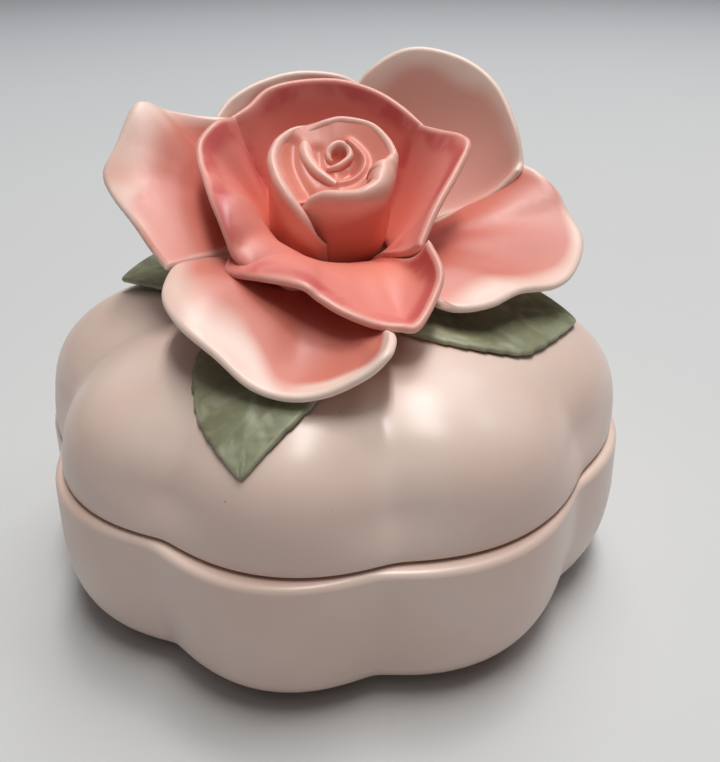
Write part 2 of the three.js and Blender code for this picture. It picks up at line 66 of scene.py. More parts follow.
class Body(Enum):
    """The two bodies of the box, by their names in the frame."""

    BASE = "base"
    LID = "lid"


class Slot(Enum):
    """The finishes that the record names."""

    BISQUE = "bisque_body"
    BUD = "rose_bud"
    INNER = "rose_inner"
    OUTER = "rose_outer"
    LEAF = "leaf_green"


class Laid(Enum):
    """Where a sheet's stations lie in its thickness."""

    MIDDLE = "on the middle of the sheet"
    OUTSIDE = "on the outer face"


# ---------------------------------------------------------------- numbers and curves


def smoothstep(x: Array, low: float, high: float) -> Array:
    """Rises smoothly from 0 at low to 1 at high.

    Args:
        x: Values to judge.
        low: The value that gives 0.
        high: The value that gives 1.

    Returns:
        A share from 0 to 1 for each value.
    """
    t = np.clip((x - low) / (high - low), 0, 1)
    return t * t * (3 - 2 * t)


def through(stations: Array, u: Array) -> Array:
    """A smooth curve through evenly numbered stations.

    Args:
        stations: One row per station.
        u: Places along the curve, 0 at the first station and 1 at the last.

    Returns:
        One row per place.
    """
    before = 2 * stations[:1] - stations[1:2]
    after = 2 * stations[-1:] - stations[-2:-1]
    held = np.vstack([before, stations, after])
    last = len(stations) - 1
    place = np.clip(u, 0, 1) * last
    i = np.minimum(place.astype(int), last - 1)
    t = (place - i)[:, None]
    a, b, c, d = (held[i + k] for k in range(4))
    return b + 0.5 * t * (c - a + t * (2 * a - 5 * b + 4 * c - d + t * (3 * (b - c) + d - a)))


def polar(centre: tuple[float, float], angle: Array, radius: Array, height: Array) -> Array:
    """Points from a compass angle in degrees, a radius and a height about a centre."""
    a = np.radians(angle)
    x = centre[0] + radius * np.cos(a)
    y = centre[1] + radius * np.sin(a)
    return np.stack([x, y, np.broadcast_to(height, x.shape)], -1)


def outward(angle: Array, rise: Array) -> Array:
    """Unit vectors at a compass angle that climb by rise, both in degrees."""
    a, b = np.radians(angle), np.radians(rise)
    flat = np.cos(b) * np.ones_like(a)
    return np.stack([np.cos(a) * flat, np.sin(a) * flat, np.sin(b) * np.ones_like(a)], -1)


def unit(vectors: Array) -> Array:
    """The vectors scaled to length 1."""
    return vectors / np.maximum(np.linalg.norm(vectors, axis=-1, keepdims=True), 1e-12)


def quarter_turns(steps: int) -> Array:
    """Even angles from 0 to 90 degrees, in radians."""
    return np.linspace(0, math.pi / 2, steps + 1)


def linear(red: int, green: int, blue: int) -> Colour:
    """A colour socket's value for a screen colour given from 0 to 255."""
    shares = [c / 255 for c in (red, green, blue)]
    flat = [c / 12.92 if c <= 0.04045 else ((c + 0.055) / 1.055) ** 2.4 for c in shares]
    return (*flat, 1.0)


# ---------------------------------------------------------------- meshes


def new_piece(name: str, points: Array, faces: Faces, marks: Marks) -> bpy.types.Object:
    """Makes a smooth mesh object.

    Args:
        name: The piece's name.
        points: Vertices in millimetres, in the frame's axes.
        faces: Vertex numbers of each face, turning left as seen from outside.
        marks: Named values on the vertices, which finishes read.

    Returns:
        The new object, linked to the scene.
    """
    mesh = bpy.data.meshes.new(name)
    mesh.from_pydata((points * MM).tolist(), [], faces)
    for mark, values in marks.items():
        layer = mesh.attributes.new(mark, "FLOAT", "POINT")
        layer.data.foreach_set("value", np.asarray(values, np.float32).ravel())
    mesh.shade_smooth()
    mesh.update()
    piece = bpy.data.objects.new(name, mesh)
    bpy.context.scene.collection.objects.link(piece)
    return piece


def quads(cell: Array) -> Faces:
    """The faces between neighbours in a grid of vertex numbers."""
    corners = [cell[:-1, :-1], cell[1:, :-1], cell[1:, 1:], cell[:-1, 1:]]
    return [tuple(q) for q in np.stack([c.ravel() for c in corners], -1).tolist()]


def pillow(middle: Array, normal: Array, half: Array) -> tuple[Array, Faces, Array]:
    """A closed body about a grid, whose two faces meet at the grid's border.

    Args:
        middle: Points of the middle, as columns by rows by 3.
        normal: Unit vectors towards the outer face.
        half: Half the thickness, 0 on the border.

    Returns:
        The points, the faces, and which grid point each vertex came from with its face's sign.
    """
    columns, rows = half.shape
    cell = np.arange(columns * rows).reshape(columns, rows)
    inside = np.zeros((columns, rows), bool)
    inside[1:-1, 1:-1] = True
    under = cell.copy()
    under[inside] = columns * rows + np.arange(inside.sum())
    step = normal * half[..., None]
    points = np.vstack([(middle + step).reshape(-1, 3), (middle - step)[inside]])
    source = np.concatenate([cell.ravel(), cell[inside]])
    sign = np.concatenate([np.where(inside, 1.0, 0.0).ravel(), -np.ones(inside.sum())])
    return points, quads(cell) + quads(under.T), np.stack([source, sign], -1)


# ---------------------------------------------------------------- shader graph


class Value:
    """A shader socket that sums can be written on."""

    def __init__(self, graph: "Graph", socket: bpy.types.NodeSocket) -> None:
        """Holds the socket and the graph that it belongs to."""
        self.graph = graph
        self.socket = socket

    def _math(self, operation: str, first: Any, second: Any) -> "Value":
        """The result of one Math node."""
        node = self.graph.node("ShaderNodeMath", {"operation": operation}, {0: first, 1: second})
        return Value(self.graph, node.outputs[0])

    def __add__(self, other: Any) -> "Value":
        """The sum."""
        return self._math("ADD", self, other)

    def __sub__(self, other: Any) -> "Value":
        """The difference."""
        return self._math("SUBTRACT", self, other)

    def __rsub__(self, other: Any) -> "Value":
        """The difference from a number."""
        return self._math("SUBTRACT", other, self)

    def __mul__(self, other: Any) -> "Value":
        """The product."""
        return self._math("MULTIPLY", self, other)

    __radd__ = __add__
    __rmul__ = __mul__

    def larger(self, other: Any) -> "Value":
        """The larger of the two."""
        return self._math("MAXIMUM", self, other)

    def swing(self, reach: float) -> "Value":
        """A noise's swing about its middle, reach wide from its lowest to its highest."""
        return (self - 0.5) * reach

    def rising(self, low: Any, high: Any) -> "Value":
        """A mask that rises smoothly from 0 at low to 1 at high, or falls where high is below low."""
        node = self.graph.node(
            "ShaderNodeMapRange",
            {"interpolation_type": "SMOOTHSTEP"},
            {"Value": self, "From Min": low, "From Max": high, "To Min": 0.0, "To Max": 1.0},
        )
        return Value(self.graph, node.outputs[0])


class Graph:
    """The node tree of one material, with a Principled shader at its end."""

    def __init__(self, name: str, **constants: Any) -> None:
        """Starts a material.

        Args:
            name: The material's name.
            **constants: Values of the Principled shader's sockets, by name with _ for a space.
        """
        self.material = bpy.data.materials.new(name)
        self.material.use_nodes = True
        self.tree = self.material.node_tree
        self.tree.nodes.clear()
        sockets = {key.replace("_", " "): value for key, value in constants.items()}
        self.shader = self.node("ShaderNodeBsdfPrincipled", {}, sockets)
        self.node("ShaderNodeOutputMaterial", {}, {"Surface": self.shader.outputs[0]})

    def node(self, kind: str, settings: dict[str, Any], inputs: dict[int | str, Any]) -> bpy.types.Node:
        """Adds a node.

        Args:
            kind: The node's type.
            settings: Its properties, set before its sockets.
            inputs: A number, colour, socket or Value for each input, by name or place.

        Returns:
            The node.
        """
        made = self.tree.nodes.new(kind)
        for key, setting in settings.items():
            setattr(made, key, setting)
        for key, given in inputs.items():
            given = given.socket if isinstance(given, Value) else given
            if isinstance(given, bpy.types.NodeSocket):
                self.tree.links.new(given, made.inputs[key])
            else:
                made.inputs[key].default_value = given
        return made

    def mark(self, name: str) -> Value:
        """A named value that the mesh carries."""
        return Value(self, self.node("ShaderNodeAttribute", {"attribute_name": name}, {}).outputs["Fac"])

    def place(self) -> bpy.types.NodeSocket:
        """The place on the piece in its own axes, in metres."""
        return self.node("ShaderNodeTexCoord", {}, {}).outputs["Object"]

    def along(self, direction: Place) -> Value:
        """How far a place on the piece lies along a direction, in metres."""
        inputs = {0: self.place(), 1: direction}
        node = self.node("ShaderNodeVectorMath", {"operation": "DOT_PRODUCT"}, inputs)
        return Value(self, node.outputs["Value"])

    def noise(self, grain: float, detail: float = 3.0, warp: float = 0.0) -> Value:
        """Cloudy noise about 0.5.

        Args:
            grain: The size of one cloud in millimetres.
            detail: How many finer octaves are added.
            warp: How far the clouds are pulled about.

        Returns:
            The noise.
        """
        inputs = {"Vector": self.place(), "Scale": 1 / (grain * MM), "Detail": detail, "Distortion": warp}
        node = self.node("ShaderNodeTexNoise", {}, inputs)
        return Value(self, node.outputs["Fac"])

    def specks(self, spacing: float, size: float) -> Value:
        """A mask of small round specks, one at most in each cell.

        Args:
            spacing: The cells' width in millimetres.
            size: A speck's radius as a share of the spacing.

        Returns:
            The mask.
        """
        inputs = {"Scale": 1 / (spacing * MM), "Vector": self.place()}
        node = self.node("ShaderNodeTexVoronoi", {}, inputs)
        return Value(self, node.outputs["Distance"]).rising(size, size * 0.4)

    def blend(self, share: Any, first: Any, second: Any) -> Value:
        """Colour that goes from first to second by share.

        Args:
            share: 0 for the first colour, 1 for the second.
            first: A colour or a Value.
            second: A colour or a Value.

        Returns:
            The mixed colour.
        """
        node = self.node("ShaderNodeMix", {"data_type": "RGBA"}, {0: share, 6: first, 7: second})
        return Value(self, node.outputs[2])

    def finish(self, colour: Value, roughness: Value, height: Value, depth: float) -> bpy.types.Material:
        """Joins what varies to the shader.

        Args:
            colour: The base colour.
            roughness: The roughness.
            height: The fine relief, from 0 to 1.
            depth: How deep that relief is, in millimetres.

        Returns:
            The material.
        """
        relief = {"Strength": 1.0, "Distance": depth * MM, "Height": height}
        bump = self.node("ShaderNodeBump", {}, relief)
        links = self.tree.links
        links.new(colour.socket, self.shader.inputs["Base Color"])
        links.new(roughness.socket, self.shader.inputs["Roughness"])
        links.new(bump.outputs[0], self.shader.inputs["Normal"])
        return self.material


# ---------------------------------------------------------------- finishes


@dataclass(frozen=True)
class BisqueFinish:
    """Satin unglazed porcelain, washed with a warm pink cream. Sizes in millimetres."""

    name: str = "bisque_satin"
    cream: Colour = linear(233, 210, 198)
    blush: Colour = linear(229, 202, 189)
    speck: Colour = linear(150, 128, 116)
    speck_share: float = 0.55
    speck_spacing: float = 5.5
    speck_size: float = 0.045
    speck_patch: float = 14
    cloud: float = 26
    ripple: float = 2.4
    grain: float = 0.9
    relief: float = 0.0015
    roughness: float = 0.31
    sheen: float = 0.04

    def material(self) -> bpy.types.Material:
        """Makes the finish's material."""
        graph = Graph(self.name, Specular_IOR_Level=0.5, Sheen_Weight=self.sheen, Sheen_Roughness=0.4)
        clouds = graph.noise(self.cloud, 3, 0.4)
        ripple = graph.noise(self.ripple, 2)
        patches = graph.noise(self.speck_patch, 1).rising(0.5, 0.62)
        specks = graph.specks(self.speck_spacing, self.speck_size) * patches
        # The clay's own cloudy cream and blush; no light or shade is painted here.
        wash_and_painted_light = graph.blend(clouds.rising(0.35, 0.65), self.cream, self.blush)
        colour = graph.blend(specks * self.speck_share, wash_and_painted_light, self.speck)
        roughness = self.roughness + ripple.swing(0.04) + clouds.swing(0.08)
        height = ripple * 0.8 + graph.noise(self.grain, 1) * 0.2
        return graph.finish(colour, roughness, height, self.relief)


@dataclass(frozen=True)
class PetalFinish:
    """Air-brushed petal: deep colour low down, fading to a cream edge, with a darker line round the rim.

    Sizes are in millimetres. Each share is how strongly that layer covers what is under it, and
    deep_top is the share of the way up at which the deep colour has faded out. A sheet's share of
    painted light pales it all over, standing in for light that falls on it.
    """

    name: str
    deep: Colour
    middle: Colour
    pale: Colour
    line: Colour
    cream_reach: float
    cream_share: float
    line_share: float
    deep_top: float
    under_share: float
    line_band: tuple[float, float] = (1.0, 3.2)
    worn_share: float = 0.3
    cloud: float = 9
    broad_cloud: float = 15
    fine: float = 1.4
    grain: float = 0.3
    relief: float = 0.012
    roughness: float = 0.38
    sheen: float = 0.06

    def material(self) -> bpy.types.Material:
        """Makes the finish's material."""
        graph = Graph(self.name, Specular_IOR_Level=0.5, Sheen_Weight=self.sheen, Sheen_Roughness=0.4)
        rim = graph.mark("rim")
        clouds = graph.noise(self.cloud, 3, 0.5)
        fine = graph.noise(self.fine, 4)
        low = (graph.mark("climb") + clouds.swing(0.3)).rising(self.deep_top, 0.0)
        colour = graph.blend(low, self.middle, self.deep)
        broad = graph.noise(self.broad_cloud, 1).swing(self.cream_reach * 3.0)
        edge = (rim - broad).rising(graph.mark("cream") * self.cream_reach, 0.5)
        colour = graph.blend(edge * self.cream_share, colour, self.pale)
        low_line, high_line = self.line_band
        band = rim.rising(low_line * 0.4, low_line) * rim.rising(high_line, high_line * 0.45)
        colour = graph.blend(band * clouds.rising(0.36, 0.6) * self.line_share, colour, self.line)
        worn = rim.rising(0.75, 0.15) * fine.rising(0.3, 0.6)
        under = graph.mark("face").rising(-0.1, 0.6)
        # Paler worn rims and outer faces are the stain's own; the last share is painted light that pales
        # the whole sheet.
        for paling in (worn * self.worn_share, under * self.under_share, graph.mark("wash_and_painted_light")):
            colour = graph.blend(paling, colour, self.pale)
        height = fine * 0.6 + graph.noise(self.grain, 2) * 0.4
        return graph.finish(colour, self.roughness + fine.swing(0.14), height, self.relief)


@dataclass(frozen=True)
class LeafFinish:
    """Mottled sage green stain, thin enough for the clay to show along the ribs and the edge."""

    name: str = "leaf_stain"
    dark: Colour = linear(126, 128, 98)
    green: Colour = linear(148, 152, 122)
    pale: Colour = linear(196, 194, 172)
    rib_share: float = 0.45
    rim_share: float = 0.35
    patch_share: float = 0.4
    cloud: float = 6
    patch: float = 4
    fine: float = 0.9
    relief: float = 0.02
    roughness: float = 0.45

    def material(self) -> bpy.types.Material:
        """Makes the finish's material."""
        graph = Graph(self.name, Specular_IOR_Level=0.45)
        clouds = graph.noise(self.cloud, 3, 0.4)
        fine = graph.noise(self.fine, 4)
        colour = graph.blend(clouds.rising(0.35, 0.62), self.dark, self.green)
        worn_rib = graph.mark("rib").rising(0.2, 0.9) * self.rib_share
        worn_rim = graph.mark("rim").rising(1.2, 0.2) * self.rim_share
        patches = graph.noise(self.patch, 2, 0.4).rising(0.5, 0.75) * self.patch_share
        share = ((worn_rib + worn_rim) * clouds.rising(0.25, 0.6)).larger(patches)
        colour = graph.blend(share, colour, self.pale)
        height = fine * 0.5 + clouds * 0.5
        return graph.finish(colour, self.roughness + fine.swing(0.2), height, self.relief)


@dataclass(frozen=True)
class SweepFinish:
    """Pale matt board of the studio floor, with painted shade that greys it far behind the box. Distances
    in metres.
    """

    name: str = "studio_board"
    light: Colour = linear(208, 209, 210)
    grey: Colour = linear(203, 204, 205)
    # Painted shade: the colour the board turns to far behind the box.
    far: Colour = linear(204, 207, 211)
    away: Place = (-0.5, 0.87, 0.0)
    painted_shade_fade: tuple[float, float] = (0.1, 1.1)
    cloud: float = 180
    fine: float = 2
    relief: float = 0.02
    roughness: float = 0.62

    def material(self) -> bpy.types.Material:
        """Makes the finish's material."""
        graph = Graph(self.name, Specular_IOR_Level=0.3)
        fine = graph.noise(self.fine)
        near = graph.blend(graph.noise(self.cloud), self.light, self.grey)
        # Painted shade: the board blends to the far colour with distance behind the box.
        colour = graph.blend(graph.along(self.away).rising(*self.painted_shade_fade), near, self.far)
        return graph.finish(colour, self.roughness + fine * 0.1, fine, self.relief)


class Finishes:
    """Every finish of the box, made once."""

    def __init__(self) -> None:
        """Makes the materials, one for each slot of the record."""
        # On the bud the low deep colour is lighter than the top's middle colour. This is partly the bud's
        # real change from salmon low down to pink on top, and partly painted light on its lower sides,
        # which lie in shade, and painted shade on its top.
        bud = PetalFinish(
            "bud_stain",
            deep=linear(250, 170, 138),
            middle=linear(226, 138, 121),
            pale=linear(250, 204, 190),
            line=linear(232, 140, 130),
            cream_reach=6,
            cream_share=0.7,
            line_share=0.35,
            deep_top=0.55,
            under_share=0.0,
        )
        inner = PetalFinish(
            "coral_stain",
            deep=linear(242, 144, 122),
            middle=linear(234, 142, 130),
            pale=linear(240, 190, 176),
            line=linear(206, 86, 88),
            cream_reach=1.6,
            cream_share=0.35,
            line_share=0.75,
            line_band=(1.2, 5.5),
            deep_top=0.8,
            under_share=0.55,
        )
        outer = PetalFinish(
            "blush_stain",
            deep=linear(190, 90, 77),
            middle=linear(216, 128, 112),
            pale=linear(250, 226, 212),
            line=linear(224, 160, 146),
            cream_reach=3.6,
            cream_share=0.9,
            line_share=0.2,
            deep_top=0.8,
            under_share=0.75,
        )
        made = {Slot.BISQUE: BisqueFinish(), Slot.LEAF: LeafFinish()}
        made |= {Slot.BUD: bud, Slot.INNER: inner, Slot.OUTER: outer}
        self.materials = {slot: finish.material() for slot, finish in made.items()}

    def dress(self, piece: bpy.types.Object, slot: Slot) -> None:
        """Puts a slot's finish on a piece."""
        piece.data.materials.append(self.materials[slot])


def settle(piece: bpy.types.Object, node: str, body: Body) -> None:
    """Rides a finished piece on its body in place of its plain solid, and reports it."""
    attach(piece, body.value)
    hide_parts(node)
    low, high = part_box(node)
    corners = np.array([v.co for v in piece.data.vertices])
    proud = max((np.array(low) - corners.min(0)).max(), (corners.max(0) - np.array(high)).max())
    faces = len(piece.data.polygons)
    LOG.info("%s rides on %s: %d faces, %.1f mm proud", piece.name, body.value, faces, proud / MM)


# ---------------------------------------------------------------- turned and lobed pieces


@dataclass(frozen=True)
class Lobes:
    """Eight lobes pressed by hand, with a soft groove at each of the given angles in degrees."""

    grooves: tuple[float, ...] = (24, 71, 118, 165, 212, 251.5, 292, 337)
    softness: float = 0.15
    steps: int = 48

    def __post_init__(self) -> None:
        """Closes the ring of grooves."""
        object.__setattr__(self, "ring", np.array([*self.grooves, self.grooves[0] + 360.0]))

    def turns(self) -> Array:
        """Angles round the box in radians, with one on every groove."""
        places = np.arange(len(self.grooves) * self.steps) / self.steps
        return np.radians(np.interp(places, np.arange(len(self.ring)), self.ring))

    def share(self, angle: Array) -> Array:
        """How far an angle in radians lies into a groove: 0 on a crest, nearly 1 between two lobes."""
        past = (np.degrees(angle) - self.ring[0]) % 360 + self.ring[0]
        wave = np.sin(math.pi * np.interp(past, self.ring, np.arange(len(self.ring))))
        return 1 - np.hypot(wave, self.softness) / math.hypot(1, self.softness)


def turned(profile: Array, turns: Array, press: Press) -> tuple[Array, Faces]:
    """A body turned from a profile that starts and ends on the axis, then pressed in along its grooves.

    Args:
        profile: Rows of radius and height, with the outside on the right going up.
        turns: The angles of its ribs, in radians.
        press: Gives new radii and heights for radii, heights and angles.

    Returns:
        The points and the faces.
    """
    steps = len(turns)
    ring = profile[1:-1]
    radius = np.repeat(ring[:, :1], steps, 1)
    height = np.repeat(ring[:, 1:], steps, 1)
    angle = np.repeat(turns[None], len(ring), 0)
    radius, height = press(radius, height, angle)
    body = np.stack([radius * np.cos(angle), radius * np.sin(angle), height], -1).reshape(-1, 3)
    ends = np.array([[0, 0, profile[0, 1]], [0, 0, profile[-1, 1]]])
    cell = np.arange(len(ring) * steps).reshape(len(ring), steps)
    closed = np.hstack([cell, cell[:, :1]])
    faces = quads(closed.T)
    first, last = len(body), len(body) + 1
    faces += [(first, int(b), int(a)) for a, b in zip(closed[0], closed[0, 1:])]
    faces += [(last, int(a), int(b)) for a, b in zip(closed[-1], closed[-1, 1:])]
    return np.vstack([body, ends]), faces


def wall(low: float, high: float, foot: float, top: float, power: float, steps: int) -> Array:
    """A rounded wall between two radii, from its foot up, as rows of radius and height."""
    turn = quarter_turns(steps)
    out = np.sin(turn) ** power
    up = 1 - np.cos(turn) ** power
    return np.stack([low + (high - low) * out, foot + (top - foot) * up], -1)


def corner(r: float, z: float, radius: float, start: float, end: float, steps: int) -> Array:
    """Part of a circle about r, z between two angles in degrees, as rows of radius and height."""
    turn = np.radians(np.linspace(start, end, steps + 1))
    return np.stack([r + radius * np.cos(turn), z + radius * np.sin(turn)], -1)


@dataclass
class Bowl:
    """The lobed bowl on its foot ring. Millimetres."""

    finishes: Finishes
    lobes: Lobes = field(default_factory=Lobes)
    radius: float = 59.8
    foot_radius: float = 43
    foot_width: float = 7
    foot_recess: float = 1.5
    foot_round: float = 0.6
    cove_round: float = 1.0
    belly_height: float = 20
    rim_inset: float = 0.6
    rim_roll: float = 1.3
    rim_width: float = 5.2
    lip_round: float = 0.9
    wall_thickness: float = 3.5
    floor_height: float = 5
    curve: float = 0.73
    belly_groove: float = 0.074
    rim_groove: float = 0.062
    groove_foot: float = 8

    def __post_init__(self) -> None:
        """Takes the bowl's height from the frame."""
        self.rim_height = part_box("base_bowl")[1].z / MM

    def profile(self) -> Array:
        """The bowl's section, from under its middle round to its floor inside."""
        rim_radius = self.radius - self.rim_inset
        opening = rim_radius - self.rim_width
        ring = self.foot_radius - self.foot_width
        recess = self.foot_recess
        cove = ring - 2 * recess
        hollow = self.foot_radius - self.wall_thickness
        inside = wall(hollow, opening, self.floor_height, self.belly_height, self.curve, 36)
        outside = wall(self.foot_radius, self.radius, 0, self.belly_height, self.curve, 56)
        soft, roll, lip = self.foot_round, self.rim_roll, self.lip_round
        return np.vstack([
            [[0, recess]],
            [[r, recess] for r in np.linspace(4, cove, 8)],
            corner(cove, recess - self.cove_round, self.cove_round, 70, 20, 3),
            corner(ring + soft, soft, soft, 180, 270, 5),
            [[r, 0] for r in np.linspace(ring + 2, self.foot_radius - 1, 4)],
            outside[1:],
            corner(rim_radius - roll, self.rim_height - roll, roll, 4, 90, 12),
            corner(opening + lip, self.rim_height - lip, lip, 90, 180, 8),
            [[opening, self.belly_height + 4]],
            inside[::-1],
            [[r, self.floor_height] for r in np.linspace(30, 3, 8)],
            [[0, self.floor_height]],
        ])

    def press(self, radius: Array, height: Array, angle: Array) -> tuple[Array, Array]:
        """Presses the grooves in, a little less at the rim."""
        share = smoothstep(height, self.groove_foot, self.rim_height)
        depth = self.belly_groove + (self.rim_groove - self.belly_groove) * share
        return radius * (1 - depth * self.lobes.share(angle)), height

    def build(self) -> bpy.types.Object:
        """Makes the bowl's mesh."""
        points, faces = turned(self.profile(), self.lobes.turns(), self.press)
        return new_piece("fired_base_bowl", points, faces, {})

    def dress(self, piece: bpy.types.Object) -> None:
        """Finishes the bowl and rides it on the base."""
        self.finishes.dress(piece, Slot.BISQUE)
        settle(piece, "base_bowl", Body.BASE)


@dataclass
class Lid:
    """The domed lid with the flange that drops inside the bowl. Millimetres and degrees."""

    finishes: Finishes
    lobes: Lobes = field(default_factory=Lobes)
    radius: float = 58.1
    edge_lift: float = 0.4
    curve: float = 0.69
    wall_thickness: float = 3.8
    edge_groove: float = 0.049
    shoulder_groove: float = 0.092
    crown_groove: float = 0.055
    shoulder_climb: tuple[float, float] = (0, 0.35)
    crown_climb: tuple[float, float] = (0.6, 0.95)
    crown_fade: tuple[float, float] = (8, 30)
    crowding: float = 1.15
    turn: float = 2.8
    shift: tuple[float, float] = (-0.25, 1.0)
    flange_radius: float = 50
    flange_depth: float = 4.5
    flange_wall: float = 2.8
    flange_round: float = 0.6
    edge_round: float = 1.2

    def __post_init__(self) -> None:
        """Takes the lid's heights from the frame."""
        low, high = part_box("lid_shell")
        self.seat = low.z / MM + self.flange_depth
        self.spring = self.seat + self.edge_lift
        self.rise = high.z / MM - self.spring
        spin = Matrix.Rotation(math.radians(self.turn), 4, "Z")
        self.frame = Matrix.Translation((*self.shift, 0)) @ spin

    def dome(self, turn: Array, offset: float) -> Array:
        """Rows of radius and height at turns from the edge (0) to the crown (90 degrees)."""
        a = np.radians(turn)
        r = (self.radius + offset) * np.maximum(np.cos(a), 0) ** self.curve
        z = self.spring + (self.rise + offset) * np.sin(a) ** self.curve
        return np.stack([r, z], -1)

    def press(self, radius: Array, height: Array, angle: Array) -> tuple[Array, Array]:
        """Presses the grooves in, fading towards the crown."""
        climb = np.clip((height - self.spring) / self.rise, 0, 1)
        to_shoulder = smoothstep(climb, *self.shoulder_climb)
        to_crown = smoothstep(climb, *self.crown_climb)
        depth = self.edge_groove + (self.shoulder_groove - self.edge_groove) * to_shoulder
        depth = (depth + (self.crown_groove - self.shoulder_groove) * to_crown) * self.lobes.share(angle)
        sink = depth * smoothstep(radius, *self.crown_fade)
        above = np.maximum(height - self.spring, 0)
        return radius * (1 - depth), height - above * sink

    def profile(self) -> Array:
        """The lid's section, from under its crown round its flange and edge to the crown."""
        inside = self.flange_radius - self.flange_wall
        low = self.seat - self.flange_depth
        inner = self.dome(90 * np.linspace(1, 0, 40) ** self.crowding, -self.wall_thickness)
        inner = inner[inner[:, 0] < inside - 0.5]
        inner[0, 0] = 0
        outer = self.dome(90 * np.linspace(0, 1, 90) ** self.crowding, 0)
        outer[-1, 0] = 0
        soft, edge = self.flange_round, self.edge_round
        return np.vstack([
            inner,
            [[inside, self.seat + 2]],
            corner(inside + soft, low + soft, soft, 180, 270, 5),
            corner(self.flange_radius - soft, low + soft, soft, 270, 360, 5),
            [[self.flange_radius, self.seat - 1]],
            [[self.flange_radius, self.seat]],
            corner(self.radius - edge, self.seat + edge, edge, -90, -12, 8),
            outer[2:],
        ])

    def height_at(self, x: Array, y: Array) -> Array:
        """The dome's height over places given in the lid's own axes, found by halving the turn."""
        angle, radius = np.arctan2(y, x), np.hypot(x, y)
        low, high = np.zeros_like(radius), np.full_like(radius, 90.0)
        height = np.zeros_like(radius)
        for _ in range(24):
            turn = (low + high) / 2
            point = self.dome(turn, 0)
            r, height = self.press(point[..., 0], point[..., 1], angle)
            beyond = r > radius
            low, high = np.where(beyond, turn, low), np.where(beyond, high, turn)
        return height

    def place(self, points: Array, inner: Matrix | None = None) -> Array:
        """Takes points from the lid's axes, or from a group's axes inside them, to the frame's axes."""
        matrix = np.array(self.frame @ inner if inner else self.frame)
        return points @ matrix[:3, :3].T + matrix[:3, 3]

    def build(self) -> bpy.types.Object:
        """Makes the lid's mesh."""
        points, faces = turned(self.profile(), self.lobes.turns(), self.press)
        return new_piece("fired_lid_shell", self.place(points), faces, {})

    def dress(self, piece: bpy.types.Object) -> None:
        """Finishes the lid and rides it on its own body."""
        self.finishes.dress(piece, Slot.BISQUE)
        settle(piece, "lid_shell", Body.LID)


# ---------------------------------------------------------------- sheets of clay


@dataclass(frozen=True)
class Root:
    """The arc that a sheet grows from: angles, radius, height, the rise of its ribs, and its shift."""

    start: float
    end: float
    radius: float
    height: float
    rise: float
    shift: tuple[float, float] = (0.0, 0.0)


@dataclass(frozen=True)
class Sheet:
    """One petal or wrap: a sheet between a root arc and a free rim.

    Each station of the rim is an angle, a radius, a height and a lip angle, with a thickness where it
    isn't the usual one. Its share of painted light pales the whole sheet, standing in for light that
    falls on it, and cream gives places along the rim and how far its cream edge reaches there. reach is
    how stiffly the ribs leave the root and meet the rim.
    """

    node: str
    root: Root
    rim: tuple[tuple[float, ...], ...]
    centre: tuple[float, float] | None = None
    laid: Laid = Laid.MIDDLE
    rim_thickness: float = 1.6
    root_thickness: float = 2.6
    # Share of painted light: pales the whole sheet, standing in for light that falls on it.
    wash_and_painted_light: float = 0.0
    cream: tuple[tuple[float, float], ...] = ((0.0, 1.0),)
    reach: float = 0.4
    columns: int = 96
    rows: int = 34


ROOT_CENTRE = (0.0, 4.0)
EDGE_STEPS = 5
RIB_STEPS = 40
SLOPE_STEP = 0.004
BEAD = 0.6


